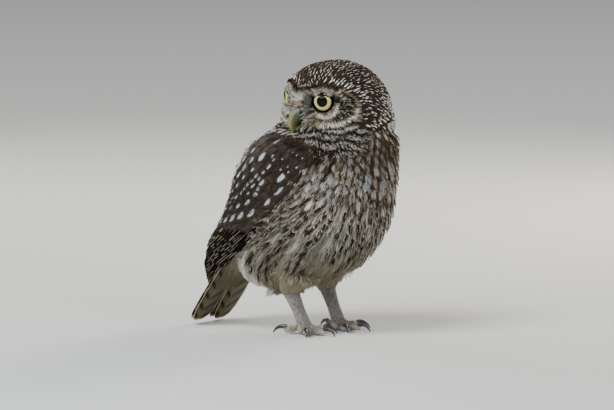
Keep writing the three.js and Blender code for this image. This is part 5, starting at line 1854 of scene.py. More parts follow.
@dataclass
class Wing:
    """One folded wing, in tiers of feathers."""

    name: str
    side: float
    seed: int

    def lay(
        self, growth: Growth, course: list[Array], width: Array, lift: tuple[Array, Array], look: Look,
        lean: float = 0.4,
    ) -> Batch:
        """Feathers from places of roots and tips.

        Args:
            growth: where they grow. course: places of their roots, middles and tips. width: their widths.
            lift: heights of roots and tips. look: their colours.
            lean: how far the outer edge stands over the inner.

        Returns:
            The feathers.
        """
        root, middle, tip = (x[:, None] for x in course)
        shares = np.array(QUILL.shares)
        t = shares[None, :, None]
        place = root * (1 - t) * (1 - 2 * t) + middle * 4 * t * (1 - t) + tip * t * (2 * t - 1)
        high = mix(lift[0][:, None], lift[1][:, None], shares**1.1)
        rings = laid(growth.form, place, high, width, QUILL, 0.4, 0.12, -lean * self.side)
        return Batch.of(rings, QUILL, look, course[0], growth.rng.random(len(width)))

    @staticmethod
    def tip_height(tip: Array, added: Array | float) -> Array:
        """How high the coverts' tips stand over the wing: lower at its front edge."""
        rise = np.interp(tip[:, 0], [0, 0.1, 0.25, 0.62], [-0.6, 0.6, 2.3, 0.9])
        return (rise + added) * (1 - 0.7 * ramp(tip[:, 1], 0.8, 1.0))

    def coverts(self, growth: Growth) -> list[Batch]:
        """The coverts, each placed by its own mark, over plain ones that close the gaps."""
        rng = growth.rng
        down, over = np.meshgrid(np.arange(0.1, 0.63, 0.055), np.arange(-0.02, 1.0, 0.095), indexing="ij")
        over = over + 0.0475 * (np.arange(len(down)) % 2)[:, None]
        tip = np.stack([down.ravel(), over.ravel()], -1) + rng.normal(0, 1, (down.size, 2)) * [0.006, 0.012]
        root = tip - [0.16, -0.01]
        look = Look.plain(Colours.back * (0.8 + 0.4 * rng.random((len(tip), 1))))
        lift = -1.0 + 0 * tip[:, 0], self.tip_height(tip, -0.5)
        found = [self.lay(growth, [root, (root + tip) / 2, tip], np.full(len(tip), 9.5), lift, look)]
        for tier in COVERTS:
            mark = np.array(tier.marks)
            count = len(mark)
            size = np.array(tier.mark) * (1 + rng.normal(0, 0.1, (count, 2)))
            tip = mark + np.stack([(size[:, 0] + 1.0) / 100, -0.005 + 0 * size[:, 0]], -1)
            root = tip - [tier.reach, -0.02]
            steps = growth.form.point(mix(root[:, None], tip[:, None], np.linspace(0, 1, 9)[None, :, None]))
            long = np.linalg.norm(np.diff(steps, axis=1), axis=-1).sum(1)
            width = tier.width * (0.94 + 0.12 * rng.random(count))
            shape = np.stack([1 - (size[:, 0] + 1.0) / long, size[:, 0] / long, size[:, 1] * 2 / width], -1)
            soft = ramp(tip[:, 0], 0.0, 0.3)
            ground = Colours.back * (0.8 + 0.4 * rng.random((count, 1)))
            look = Look.marked(ground, Colours.spot * (0.6 + 0.25 * rng.random((count, 1))), shape)
            lift = -1.0 + 0.4 * tier.lift * soft, self.tip_height(tip, tier.lift * soft)
            found.append(self.lay(growth, [root, (root + tip) / 2, tip], width, lift, look))
        return found

    def fringe(self, growth: Growth, tier: Batch) -> Batch:
        """The loose barbs along the outer half of each covert, in the colours of the places they lie at."""
        rng, rays = growth.rng, np.array(SHORT_BARB.shares)
        pick = np.repeat(np.arange(len(tier.rings)), 26)
        total = len(pick)
        middle, edge = tier.rings[:, :, 2], tier.rings[:, :, 0] - tier.rings[:, :, 2]
        start = rng.uniform(2.2, 6.3, total)
        at, share = start.astype(int), start % 1
        point, edge, along = (
            mix(rows[pick, at], rows[pick, at + 1], share[:, None])
            for rows in (middle, edge, np.gradient(middle, axis=1))
        )
        aside = rng.uniform(-1, 1, total)
        point = point + edge * aside[:, None]
        out = growth.form.normal(tier.home)[pick]
        way = unit(unit(along) + unit(edge) * (0.35 * aside + rng.normal(0, 0.1, total))[:, None])
        length = rng.uniform(1.6, 3.0, total)
        rise = mix(-0.1, rng.uniform(0.15, 0.5, (total, 1)), rays) - 0.12 * aside[:, None] ** 2
        rings = strands(point, way, length, out, rise, rng.uniform(0.3, 0.5, total), SHORT_BARB)
        long = np.array(QUILL.shares)
        s = mix(long[at], long[at + 1], share) + 0.1 * rays[1]
        spot = tier.look.mark[pick]
        clear = np.hypot(aside / spot[:, 2], (s - spot[:, 0]) / spot[:, 1]) > 1.35
        look = Look.plain(tier.look.ground[pick] * rng.uniform(0.7, 1.45, (total, 1)))
        seeds = rng.random(total)
        home = tier.home[pick] + rng.normal(0, 0.01, (total, 2))
        batch = Batch.of(rings, SHORT_BARB, look, home, seeds)
        batch.vane[..., 1] = 0.4 + 0.6 * batch.vane[..., 1]
        return batch.pick(clear)

    def fan(self, fan: Fan, growth: Growth) -> Batch:
        """A tier of long feathers with pale notches along their edges."""
        rng, count = growth.rng, fan.count
        share = np.linspace(0, 1, count)
        course = [route(line)(share) for line in (fan.roots, fan.middles, fan.tips)]
        course[2] = course[2] + rng.normal(0, 1, (count, 2)) * [0.004, 0.006]
        ground = Colours.flight * (0.4 + 0.3 * rng.random((count, 1)))
        look = Look.marked(ground, np.tile(Colours.bar, (count, 1)), np.tile(fan.notches, (count, 1)), fan.rim)
        lift = (fan.lift[0] + 0.3 * fan.stack * share, fan.lift[1] + fan.stack * share)
        return self.lay(growth, course, np.full(count, fan.width), lift, look, 1.3)

    def build(self, shop: Workshop) -> None:
        """Grows the tiers and dresses them."""
        growth = Growth(WingForm(self.side), self.seed)
        # The quills carry a little painted shade at their edges and tips.
        barred = FeatherFinish(
            "quill_feather", Pattern.BARS, roughness=0.72, sheen=0.02, barbs=46.0, shaft=-0.1, painted_edge_shade=0.9, stagger=3.7,
            rim_from=0.83, whole=0.0, specular=0.02, edge=(0.46, 0.4, 0.3, 1),
        )
        quills = [self.fan(fan, growth) for fan in FANS]
        shop.coat(f"wing_quills_{self.name}", "flight_feather", barred, quills, (f"wing_{self.name}",))
        coverts = self.coverts(growth)
        shop.coat(f"wing_coverts_{self.name}", "flight_feather", COVERT, coverts)
        fringes = [self.fringe(growth, tier) for tier in coverts]
        shop.coat(f"wing_barbs_{self.name}", "flight_feather", BARBS, fringes)


@dataclass
class Tail:
    """The tail's twelve feathers by pairs, with their linings, and its coverts above and below."""

    broad: tuple[float, ...] = (12.5, 12.5, 12.5, 12.5, 12.5, 16.0)
    linings: tuple[tuple[float, float, float], ...] = ((56.5, 3.5, 12.0), (58.5, 12.4, 24.0))
    reach: tuple[float, ...] = (55.0, 57.0, 59.0, 58.5, 56.5, 58.5)
    aside: tuple[float, ...] = (3.5, 7.0, 11.0, 14.6, 16.8, 12.5)
    roll: float = 2.0
    parallel: float = 0.95
    raised: float = 1.2
    swung: float = -1.7
    seed: int = 71

    def vanes(
        self, rows: list[tuple], width: Array | float, look: Look, face: float, bow: float = 0.1
    ) -> Batch:
        """Feathers from rows of root, tip and heights there over the tail's plane."""
        form, count, shares = TailForm(1.0), len(rows), np.array(QUILL.shares)
        root, tip, low, high = (np.array(column, float) for column in zip(*rows))
        place = root[:, None] + (tip - root)[:, None] * shares[None, :, None]
        line = form.point(place) + form.top * mix(low[:, None], high[:, None], shares)[..., None]
        rings = sweep(line, np.broadcast_to(form.top * face, line.shape), width * np.ones(count), QUILL, 0.4, bow)
        home = np.stack([root[:, 1] + 0.1 * np.arange(count), root[:, 0] + high + 0.37 * np.arange(count)], -1)
        return Batch.of(rings, QUILL, look, home, np.linspace(0.1, 0.9, count))

    def fan(self, feathers: tuple, drop: float) -> tuple[list[tuple], Array]:
        """Rows for pairs of feathers of a reach, a spread and a width, and all their widths."""
        rows = []
        for k, (reach, aside, _) in enumerate(feathers):
            for sign in (-1, 1):
                height = (len(feathers) / 2 - 0.5 - k) * 0.7 + sign * 0.15 + drop + self.raised
                root = (-10, self.parallel * aside * sign + 0.4 * self.swung)
                tip = (reach + 1.5 * (sign > 0), aside * sign + self.swung)
                rows.append((root, tip, height * 0.7, height - tip[1] * math.tan(math.radians(self.roll))))
        return rows, np.repeat([float(pair[2]) for pair in feathers], 2)

    def quills(self, shop: Workshop) -> None:
        """The tail's own feathers, each with a paler lining underneath."""
        own = tuple(zip(self.reach, self.aside, self.broad))
        for name, feathers, drop, ground, dye, mark, edge, slant, nodes in (
            ("tail_quill", own, 0.0, Colours.back * 0.55, Colours.bar * 0.62, (5.0, 0.11, 0.14), 0.6, 0.35,
             ("tail",)),
            # The linings' ground is the underside colour, with its painted shade.
            ("tail_lining", self.linings, -2.5, Colours.under, Colours.flight * 1.6, (7.4, 0.11, 0.02), 0.8, 0.95,
             ()),
        ):
            rows, wide = self.fan(feathers, drop)
            look = Look.marked(*(np.tile(x, (len(rows), 1)) for x in (ground, dye, mark)), 0.9)
            barred = FeatherFinish(
                f"{name}_feather", Pattern.BARS, roughness=0.6, sheen=0.05, barbs=46.0, shaft=-0.25, rim_from=0.88,
                slant=slant, edge=(edge, 0.8 * edge, 0.58 * edge, 1),
            )
            shop.coat(f"{name}s", "flight_feather", barred, [self.vanes(rows, wide, look, 1.0)], nodes)

    def build(self, shop: Workshop) -> None:
        """Grows the tail and dresses it."""
        self.quills(shop)
        rng = np.random.default_rng(self.seed)
        for name, face, tiers in (
            ("upper_tail_coverts", 1.0, ((-6, 24, 4.2, 9), (-12, 15, 5.4, 8), (-16, 7, 6.4, 7))),
            ("under_tail_coverts", -1.0, ((-8, 32, 4.0, 9), (-13, 21, 5.0, 9), (-18, 11, 6.4, 8))),
        ):
            batches = []
            for start, end, high, wide in tiers:
                rows = []
                for x in np.linspace(-1, 1, 8):
                    tip = (end - (abs(x) * 6 + rng.random() * 2), x * wide * 1.15)
                    rows.append(((start, x * wide * 0.8), tip, 0.4 * face, (high - 1.2 * abs(x)) * face))
                count = len(rows)
                if face > 0:
                    ground = Colours.back * (0.85 + 0.3 * rng.random((count, 1)))
                    marks = np.tile([0.78, 0.13, 0.34], (count, 1))
                    look = Look.marked(ground, np.tile(Colours.spot, (count, 1)), marks)
                else:
                    # The under coverts: a little white in the underside colour, so they carry its painted shade.
                    pale = mix(Colours.under, Colours.white, 0.22)
                    look = Look.plain(pale * (0.8 + 0.15 * rng.random((count, 1))))
                batches.append(self.vanes(rows, 9.5, look, face, bow=0.2))
            shop.coat(name, "plumage", COVERT, batches)
        self.down(shop, rng, count=4200)

    @staticmethod
    def down(shop: Workshop, rng: np.random.Generator, count: int) -> None:
        """The soft white barbs under the tail's root, dimmed and turning olive further back as painted shade."""
        home = np.stack([rng.uniform(-20, 21, count), rng.uniform(-1, 1, count) * 13], -1)
        length = 10 * (0.7 + 0.6 * rng.random(count))
        place = run(home, spokes(rng.normal(0, 0.2, count) + home[:, 1] * 0.02), length, BARB)
        depth = mix(9.0, 4.4, ramp(home[:, 0], -18, 20)) * np.sqrt(np.maximum(1 - (home[:, 1] / 14) ** 2, 0.1))
        low = (depth - 2.2)[:, None] + (2.6 * rng.random((count, 1)) + 0.6) * np.array(BARB.shares) ** 1.3
        rings = laid(TailForm(-1.0), place, low, 0.75 * (0.7 + 0.6 * rng.random(count)), BARB, 0.28)
        # Random tone, with the white dimmed as painted shade under the tail.
        pale = mix(Colours.cream, Colours.white, rng.random((count, 1))) * (0.5 + 0.25 * rng.random((count, 1)))
        # Painted shade: the down turns darker and olive further back under the tail.
        ground = mix(pale, Colours.under, 0.75 * ramp(home[:, :1], -6, 16))
        batch = Batch.of(rings, BARB, Look.plain(ground), home, rng.random(count))
        shop.coat("vent_barbs", "plumage", BARBS, [batch])


@dataclass
class LegCoat:
    """The short coat of thigh, shank and toes."""

    foot: Foot
    seed: int

    def tufts(
        self, form: LimbForm, count: int, shares: tuple[float, float], size: tuple[float, float], tip: float,
        paint: Array, rng: np.random.Generator, specks: float = 0.13,
    ) -> Batch:
        """Tufts on one limb, lying to its lower end.

        Args:
            form: the limb. count: how many. shares: the stretch of it. size: their length and width.
            tip: their lift. paint: their colour. rng: the source of chance. specks: the share of dark ones.

        Returns:
            The tufts.
        """
        home = np.stack([rng.uniform(*shares, count), rng.uniform(0, 2 * np.pi, count)], -1)
        along, _, _ = form.frame(home[:, 0])
        out = form.normal(home)
        way = unit(along_surface(along, out) + np.cross(out, along) * rng.normal(0, 0.15, (count, 1)))
        length = size[0] * (0.7 + 0.6 * rng.random(count))
        high = mix(-0.7, tip, np.array(SHORT_BARB.shares)) * (0.8 + 0.4 * rng.random((count, 1)))
        width = size[1] * (0.7 + 0.6 * rng.random(count))
        rings = strands(form.point(home), way, length, out, high, width, SHORT_BARB)
        dark = (rng.random((count, 1)) < specks) * 0.8
        ground = mix(paint, Colours.breast * 1.4, dark) * (0.85 + 0.25 * rng.random((count, 1)))
        return Batch.of(rings, SHORT_BARB, Look.plain(ground), home, rng.random(count))

    def build(self, shop: Workshop) -> None:
        """Grows the leg's coat and dresses it."""
        rng = np.random.default_rng(self.seed)
        batches = [
            self.tufts(self.foot.thigh(), 3000, (0.05, 0.8), (7.5, 0.7), 0.9, Colours.cream * 0.62, rng, 0.0),
            self.tufts(self.foot.shank(), 4200, (0.0, 0.97), (2.4, 0.42), 0.12, Colours.leg * 0.74, rng),
        ]
        for name in Foot.toes:
            toe = self.foot.toe(name)
            batch = self.tufts(toe, 420, (0.02, 0.7), (1.5, 0.3), 0.12, Colours.toe, rng)
            batches.append(batch.pick(toe.normal(batch.home)[:, 2] > -0.25))
        for k, batch in enumerate(batches):
            batch.home = batch.home + [k, 0]
        shop.coat(f"leg_barbs_{self.foot.name}", "leg_feather", BARBS, batches)


@dataclass
class Claws:
    """The four claws of one foot."""

    foot: Foot
    sides: int = 16
    rings: int = 20

    def build(self, shop: Workshop) -> None:
        """Builds the claws and dresses them."""
        shares = np.linspace(0, 1, self.rings) ** 0.9
        shapes = [limb(self.foot.claw(name), shares, self.sides) for name in Foot.toes]
        mesh = shop.mesh(f"claws_{self.foot.name}", *joined([shape[:2] for shape in shapes]))
        rows = np.concatenate([shape[2] for shape in shapes])
        shop.carry(mesh, "Vane", rows)
        shop.carry(mesh, "Tint", mix(srgb(62, 60, 62), srgb(24, 25, 29), ramp(rows[:, 1:2], 0.02, 0.3)))
        nodes = tuple(f"claw_{toe}_{self.foot.name}" for toe in Foot.toes)
        shop.piece(mesh, "claw_horn", [HornFinish("claw_horn", 0.4, (3.0, 6.0, 3.0), 0.3)], nodes)


@dataclass
class Bill:
    """The bill: the hooked upper part with its cere and nostrils, and the lower part."""

    head: HeadForm
    upper: Points = ((0, 25, 5.5), (0, 31.5, 4.8), (0, 36, 2.0), (0, 38.8, -2.6), (0, 37.9, -7.8))
    upper_sizes: Points = (
        (0, 4.8, 4.8), (0.22, 5.6, 5.8), (0.42, 4.6, 4.9), (0.6, 3.4, 4.0), (0.8, 1.9, 2.6), (1, 0.4, 0.6),
    )
    lower: Points = ((0, 25, -2.6), (0, 31.5, -3.8), (0, 36.2, -6.3))
    lower_sizes: Points = ((0, 5.2, 3.2), (0.5, 4.2, 2.8), (1, 0.9, 0.7))
    nostril: tuple[float, float, float] = (4.3, 34.4, 5.6)

    def build(self, shop: Workshop) -> None:
        """Builds both parts and dresses them."""
        for name, line, sizes in (("upper", self.upper, self.upper_sizes), ("lower", self.lower, self.lower_sizes)):
            form = LimbForm(route([self.head.out(p) for p in line]), Table(sizes), self.head.way([1, 0, 0]))
            points, faces, rows = limb(form, np.linspace(0, 1, 44), 48)
            own = self.head.own(points)
            tone = self.paint(own, rows[:, 1], name == "upper")
            if name == "upper":
                for sign in (1, -1):
                    hole = np.linalg.norm(own - np.array(self.nostril) * [sign, 1, 1], axis=1)
                    inward = unit(form.line(rows[:, 1]) - points)
                    points = points + inward * (1.6 * bell(hole, 0.9) - 0.35 * bell(hole - 1.7, 0.6))[:, None]
                    # Painted shade: the nostrils' hollows are painted black.
                    tone = mix(tone, Colours.black, np.minimum(1.3 * bell(hole, 1.0), 1)[:, None])
                crease = bell(rows[:, 1] - 0.46, 0.02)[:, None]
                points = points + unit(form.line(rows[:, 1]) - points) * 0.22 * crease
            mesh = shop.mesh(f"{name}_bill", points, faces)
            shop.carry(mesh, "Vane", rows)
            shop.carry(mesh, "Tint", tone)
            shop.piece(mesh, "bill_horn", [HornFinish("bill_horn", 0.44, (2.0, 3.0, 2.0), 0.2)], (f"bill_{name}",))

    @staticmethod
    def paint(own: Array, share: Array, upper: bool) -> Array:
        """The horn's colours: grey cere, olive sides, and a yellow ridge and tip."""
        olive, yellow, cere = srgb(68, 68, 42), srgb(130, 124, 58), srgb(82, 85, 80)
        ridge = 1 - ramp(np.abs(own[:, 0]), 0.4, 2.4)
        tip = ramp(share, 0.62, 1.0)
        front = ramp(own[:, 1], 34.5, 37.5)
        tone = mix(olive, yellow, np.clip(0.8 * ridge * front + 0.7 * tip, 0, 1)[:, None])
        if upper:
            tone = mix(cere, tone, ramp(share, 0.36, 0.48)[:, None])
        return tone


@dataclass
class Eye:
    """One eye: its ball with the iris, and its lids as rows of distance out and heights below and above."""

    head: HeadForm
    name: str
    sign: float
    sides: int = 64
    lid_sides: int = 72
    lid_profile: Points = (
        (0.0, -1.3, -1.3), (0.0, 0.1, 0.1), (0.35, 0.4, 0.5), (0.8, 0.45, 0.6), (1.3, 0.1, 0.6), (2.3, -1.0, 0.5),
        (2.8, -2.6, -1.6), (1.3, -2.6, -2.6),
    )

    def axes(self) -> tuple[Array, Array, Array, Array]:
        """The ball's middle, the way the eye looks, the head's way up and the way across."""
        centre, _, way = eye_place(self.head, self.sign)
        up = self.head.way([0, 0, 1])
        return centre, way, up, unit(np.cross(way, up))

    def build(self, shop: Workshop) -> None:
        """Builds the eye and dresses it."""
        centre, way, up, across = self.axes()
        turn = around(self.sides)
        spoke = across * np.cos(turn)[:, None] + up * np.sin(turn)[:, None]
        polar = np.concatenate([np.linspace(np.pi, 0.9, 14), np.linspace(0.86, 0.0, 26)])
        ahead = [EYE.radius * math.cos(p) * (EYE.flat if p < np.pi / 2 else 1) for p in polar]
        rings = [(a, EYE.radius * math.sin(p)) for a, p in zip(ahead, polar) if 0 < p < np.pi]
        ends = [centre + way * a for a in (ahead[0], ahead[-1])]
        points, faces = closed(np.array([centre + way * a + spoke * r for a, r in rings]), ends)
        rows = [[t, r, a] for a, r in rings for t in turn] + [[0, 0, ahead[0]], [0, 0, ahead[-1]]]
        mesh = shop.mesh(f"eyeball_{self.name}", points, faces)
        shop.carry(mesh, "Vane", np.array(rows))
        shop.piece(mesh, "eye", [IrisFinish()], (f"eye_{self.name}",))
        self.lids(shop)

    def lids(self, shop: Workshop) -> None:
        """The black rims of the lids, the upper one a little drooped."""
        centre, way, up, across = self.axes()
        turn = around(self.lid_sides)
        rise = np.sin(turn)
        upper = (np.abs(np.cos(turn)) / EYE.opening) ** 2.3 + (np.abs(rise) / EYE.upper_lid) ** 2.3
        inner = np.where(rise > 0, upper ** (-1 / 2.3), EYE.opening)
        rows, tones = [], []
        spoke = across * np.cos(turn)[:, None] + up * np.sin(turn)[:, None]
        top = ramp(rise, 0.3, 0.9)
        corner = ramp(np.cos(turn) * self.sign, 0.35, 0.95)
        for k, (out, low, high) in enumerate(self.lid_profile):
            radius = inner + out * (1 + 0.5 * top + 0.55 * corner)
            level = over_eye(radius, 0.55) + mix(low, high, top)
            rows.append(centre + way * level[:, None] + spoke * radius[:, None])
            black = 1 - 0.6 * (k > 4) * (1 - corner)
            tones.append(mix(Colours.grey * 0.3, Colours.black * 0.2, black[:, None]))
        index = np.arange(len(rows) * self.lid_sides).reshape(len(rows), self.lid_sides)
        after, beyond = np.roll(index, -1, axis=1), np.roll(index, -1, axis=0)
        quad = np.stack([index, beyond, np.roll(after, -1, axis=0), after], -1).reshape(-1, 4)
        mesh = shop.mesh(f"lids_{self.name}", np.concatenate(rows), [quad])
        shop.carry(mesh, "Tint", np.concatenate(tones))
        shop.piece(mesh, "plumage", [SkinFinish("lid_skin", 0.7, 0.06, 0.0)])


class BristleTree:
    """A tree of geometry nodes that grows one curved bristle on each point, along the point's own way."""

    def __init__(self) -> None:
        """Builds the tree."""
        self.tree = bpy.data.node_groups.new("bristle_growth", "GeometryNodeTree")
        face = self.tree.interface
        face.new_socket("Geometry", in_out="INPUT", socket_type="NodeSocketGeometry")
        self.sockets = {}
        given = {"Length": "Float", "Thickness": "Float", "Curl": "Float", "Seed": "Int", "Material": "Material"}
        for name, kind in given.items():
            self.sockets[name] = face.new_socket(name, in_out="INPUT", socket_type=f"NodeSocket{kind}").identifier
        face.new_socket("Geometry", in_out="OUTPUT", socket_type="NodeSocketGeometry")
        start = add_node(self.tree, "NodeGroupInput").outputs
        ends = {"Start": (0, 0, 0), "Middle": self.bent(start, 0.55, 0.0), "End": self.bent(start, 1.0, 1.0)}
        line = self.add("GeometryNodeCurveQuadraticBezier", {"Resolution": 6, **ends})
        share = add_node(self.tree, "GeometryNodeSplineParameter").outputs["Factor"]
        thin = self.add("ShaderNodeMapRange", {"Value": share, "To Min": 1.0, "To Max": 0.12})
        line = self.add("GeometryNodeSetCurveRadius", {"Curve": line, "Radius": thin})
        ring = self.add("GeometryNodeCurvePrimitiveCircle", {"Resolution": 4, "Radius": start["Thickness"]})
        hair = self.add("GeometryNodeCurveToMesh", {"Curve": line, "Profile Curve": ring, "Fill Caps": True})
        way = add_node(self.tree, "GeometryNodeInputNamedAttribute", {"Name": "Way"}, data_type="FLOAT_VECTOR")
        turned = self.add("FunctionNodeAlignRotationToVector", {"Vector": way.outputs["Attribute"]}, axis="Z")
        chance = add_node(self.tree, "FunctionNodeRandomValue", {"Seed": start["Seed"]}, data_type="FLOAT")
        for name, value in (("Min", 0.65), ("Max", 1.25)):
            next(x for x in chance.inputs if x.name == name and x.type == "VALUE").default_value = value
        size = next(x for x in chance.outputs if x.type == "VALUE")
        grown = {"Points": start["Geometry"], "Instance": hair, "Rotation": turned, "Scale": size}
        real = self.add("GeometryNodeRealizeInstances", {0: self.add("GeometryNodeInstanceOnPoints", grown)})
        done = self.add("GeometryNodeSetMaterial", {"Geometry": real, "Material": start["Material"]})
        add_node(self.tree, "NodeGroupOutput", {0: done})

    def add(self, kind: str, inputs: dict, **settings: object) -> bpy.types.NodeSocket:
        """The first output of a new node."""
        return add_node(self.tree, kind, inputs, **settings).outputs[0]

    def bent(self, start: object, share: float, bend: float) -> bpy.types.NodeSocket:
        """A point on the bristle: aside by a share of its curl, and up by a share of its length."""
        up = self.add("ShaderNodeMath", {0: start["Length"], 1: share}, operation="MULTIPLY")
        aside = self.add("ShaderNodeMath", {0: start["Curl"], 1: bend}, operation="MULTIPLY")
        return self.add("ShaderNodeCombineXYZ", {1: aside, 2: up})


@dataclass
class Bristles:
    """Hair-like bristles: round the bill, and on the toes."""

    tree: BristleTree

    def grow(
        self, shop: Workshop, name: str, slot: str, point: Array, way: Array, home: Array, sizes: tuple, tint: Array
    ) -> None:
        """Grows bristles from points.

        Args:
            shop: the workshop. name: the piece's. slot: not used. point, way: their roots and ways.
            home: their places on the map. tint: their colours.
            sizes: length, thickness and curl in millimetres, and the seed.
        """
        roots = bpy.data.meshes.new(name + "_roots")
        roots.vertices.add(len(point))
        roots.vertices.foreach_set("co", shop.metres(point).astype(np.float32).ravel())
        shop.carry(roots, "Way", way)
        shop.carry(roots, "Home", np.concatenate([home, np.zeros((len(home), 1))], 1))
        shop.carry(roots, "Tint", tint)
        raw = put(name + "_roots", roots)
        grown = raw.modifiers.new("bristles", "NODES")
        grown.node_group = self.tree.tree
        for key, value in zip(("Length", "Thickness", "Curl"), sizes):
            grown[self.tree.sockets[key]] = value * MM
        grown[self.tree.sockets["Seed"]] = sizes[3]
        grown[self.tree.sockets["Material"]] = shop.finish(BARBS)
        mesh, where = shop.grown(raw, name)
        spot = np.zeros(where.size, np.float32)
        mesh.attributes["Home"].data.foreach_get("vector", spot)
        spot = spot.reshape(-1, 3)[:, :2]
        shop.carry(mesh, "Vane", np.tile([0.0, 0.5, 0.5], (len(where), 1)))
        corner = np.zeros(len(mesh.loops), np.int32)
        mesh.loops.foreach_get("vertex_index", corner)
        low, span = spot.min(0), np.maximum(np.ptp(spot, axis=0), 1e-6)
        turn = 2 * np.pi * np.concatenate([np.arange(p.loop_total) / p.loop_total for p in mesh.polygons])
        for layer in list(mesh.uv_layers):
            mesh.uv_layers.remove(layer)
        shop.bake_map(mesh, MAP_EDGE + MAP_SPAN * (spot[corner] - low) / span + HAIR * (1 + spokes(turn)))
        while len(mesh.materials):
            mesh.materials.pop()
        shop.piece(mesh, slot, [BARBS])

    def rictal(self, shop: Workshop, head: HeadForm, count: int = 260) -> None:
        """The bristles that stand round the bill's root."""
        rng = np.random.default_rng(91)
        turn = rng.uniform(10, 23, count) * rng.choice([-1, 1], count)
        rise = rng.uniform(-6, 17, count)
        a, e = np.radians(turn), np.radians(rise)
        q = np.stack([np.sin(a) * np.cos(e), np.cos(a) * np.cos(e), np.sin(e)], -1)
        out = head.normal(q)
        ahead = head.way(np.stack([0.5 * np.sign(turn), 0.9 + 0 * turn, -0.35 + 0.03 * (rise - 4)], -1))
        way = unit(ahead + 0.5 * out + rng.normal(0, 0.22, (count, 3)))
        tint = mix(Colours.white, Colours.dark, (rng.random((count, 1)) < 0.45) * 1.0)
        home, sizes = np.stack([turn, rise], -1), (6.5, 0.11, 0.9, 3)
        self.grow(shop, "bill_bristles", "plumage", head.point(q) - out * 0.8, way, home, sizes, tint)

    def toes(self, shop: Workshop, count: int = 90) -> None:
        """The thin bristles on the toes."""
        rng = np.random.default_rng(93)
        rows = []
        for f, foot in enumerate(FEET):
            for k, name in enumerate(Foot.toes):
                toe = foot.toe(name)
                place = np.stack([rng.uniform(0.15, 0.93, count), rng.uniform(0, 2 * np.pi, count)], -1)
                out = toe.normal(place)
                place, out = place[out[:, 2] > 0.0], out[out[:, 2] > 0.0]
                along, _, _ = toe.frame(place[:, 0])
                way = unit(along + 0.45 * out + rng.normal(0, 0.15, out.shape))
                rows.append((toe.point(place) - out * 0.6, way, place * [1, 0.2] + [k, f * 1.5]))
        point, way, home = (np.concatenate(column) for column in zip(*rows))
        tint = mix(Colours.leg, Colours.grey, rng.random((len(point), 1)))
        self.grow(shop, "toe_bristles", "leg_feather", point, way, home, (2.6, 0.09, 0.4, 5), tint)


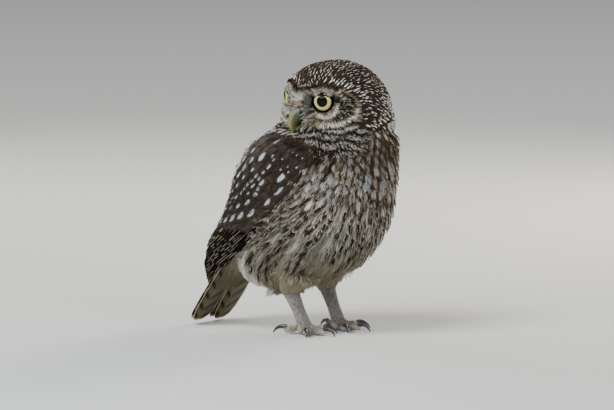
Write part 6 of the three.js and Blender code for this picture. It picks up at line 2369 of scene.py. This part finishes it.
@dataclass
class Studio:
    """The floor, the lights and the camera."""

    turn: float = -55.0
    rise: float = 6.0
    distance: float = 3000.0
    scale: float = 1.5
    size: tuple[int, int] = (614, 410)
    origin: tuple[float, float] = (321.0, 332.0)
    sensor: float = 36.0

    def aim(self) -> tuple[Array, Array, Array]:
        """The ways from the owl to the camera, to the picture's right and to its top."""
        a, e = math.radians(self.turn), math.radians(self.rise)
        towards = np.array([math.sin(a) * math.cos(e), -math.cos(a) * math.cos(e), math.sin(e)])
        right = np.array([math.cos(a), math.sin(a), 0.0])
        return towards, right, np.cross(towards, right)

    def build(self, shop: Workshop, head: HeadForm) -> None:
        """Sets up the camera, the floor and the lights."""
        towards, right, top = self.aim()
        aside = (self.size[0] / 2 - self.origin[0]) / self.scale
        above = (self.origin[1] - self.size[1] / 2) / self.scale
        target = (right * aside + top * above - shop.shift) * MM
        data = bpy.data.cameras.new("camera")
        data.sensor_width = self.sensor
        data.lens = self.sensor * self.scale * self.distance / self.size[0]
        data.clip_start, data.clip_end = 0.1, 40.0
        camera = put("camera", data)
        camera.location = target + towards * self.distance * MM
        rotation = np.stack([right, top, towards], 1)
        camera.rotation_euler = Matrix(rotation.tolist()).to_euler()
        bpy.context.scene.camera = camera
        self.floor(shop)
        middle = np.array([0, 0, 0.09])
        self.sun(towards - right * 0.8 + top * 1.5)
        self.lamp("key", middle, middle + towards * 0.8 - right * 0.7 + top * 1.0, 0.55, 5.0, (1.0, 0.985, 0.96))
        centre, _, gaze = eye_place(head, 1.0)
        glint = unit(gaze + 0.15 * top)
        seen = (centre - shop.shift) * MM
        mirrored = 2 * (glint @ towards) * glint - towards
        self.lamp("window", seen, seen + mirrored * 0.9, 0.5, 3.6, (0.7, 0.85, 1.0), 0.4)
        self.lamp("fill", middle, middle + towards * 1.1 + right * 0.8 + top * 0.5, 0.6, 3.0, (0.96, 0.98, 1.0))
        self.lamp("rim", middle, middle - towards * 0.8 + right * 0.75 + top * 0.6, 0.4, 12.0, (1.0, 0.93, 0.83))
        self.lamp("back", middle, middle - towards * 0.9 - right * 0.7 + top * 0.7, 0.7, 5.0, (1.0, 1.0, 1.0))

    @staticmethod
    def floor(shop: Workshop) -> None:
        """A flat pale floor that reaches far behind the owl."""
        mesh = bpy.data.meshes.new("floor")
        mesh.from_pydata([(-14, -14, 0), (14, -14, 0), (14, 14, 0), (-14, 14, 0)], [], [(0, 1, 2, 3)])
        mesh.materials.append(shop.finish(FloorFinish()))
        made = put("floor", mesh)
        made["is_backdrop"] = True
        world = bpy.data.worlds.new("studio")
        world.use_nodes = True
        world.node_tree.nodes["Background"].inputs[0].default_value = SKY_COLOUR
        world.node_tree.nodes["Background"].inputs[1].default_value = SKY
        bpy.context.scene.world = world

    @staticmethod
    def sun(towards: Array) -> None:
        """A wide soft light from far off."""
        data = bpy.data.lights.new("sky", "SUN")
        data.energy, data.angle = 1.9, math.radians(26)
        made = put("sky", data)
        made.rotation_euler = Vector(towards.tolist()).to_track_quat("Z", "Y").to_euler()

    @staticmethod
    def lamp(
        name: str, target: Array, place: Array, size: float, power: float, colour: Sequence[float], low: float = 1.0
    ) -> None:
        """A soft light, with its height as a share of its width."""
        data = bpy.data.lights.new(name, "AREA")
        data.shape, data.size, data.size_y, data.energy, data.color = "RECTANGLE", size, size * low, power, colour
        made = put(name, data)
        made.location = place
        made.rotation_euler = Vector((place - target).tolist()).to_track_quat("Z", "Y").to_euler()


def keep_sizes(before: tuple) -> None:
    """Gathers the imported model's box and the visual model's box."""
    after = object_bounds()
    rows = {"cad": [list(corner) for corner in before], "visual": [list(corner) for corner in after]}
    {key: [[float(x) for x in corner] for corner in rows_] for key, rows_ in rows.items()}


def main() -> None:
    """Builds the owl piece by piece."""
    logging.basicConfig(level=logging.INFO, format="%(message)s")
    cad_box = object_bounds()
    head, body = HeadForm(), RingForm(BODY_SECTIONS)
    shop = Workshop()
    shop.settle(head)
    Studio().build(shop, head)
    plumage = Plumage(head, body)
    Skin().build(shop, plumage)
    for name, side, seed in (("left", 1.0, 51), ("right", -1.0, 53)):
        Wing(name, side, seed).build(shop)
        Eye(head, name, side).build(shop)
    Tail().build(shop)
    BodyCoat(plumage).build(shop)
    HeadCoat(plumage).build(shop)
    Bill(head).build(shop)
    bristles = Bristles(BristleTree())
    bristles.rictal(shop, head)
    bristles.toes(shop)
    for k, foot in enumerate(FEET):
        LegCoat(foot, 81 + k).build(shop)
        Claws(foot).build(shop)
    keep_sizes(cad_box)


if __name__ == "__main__":
    main()
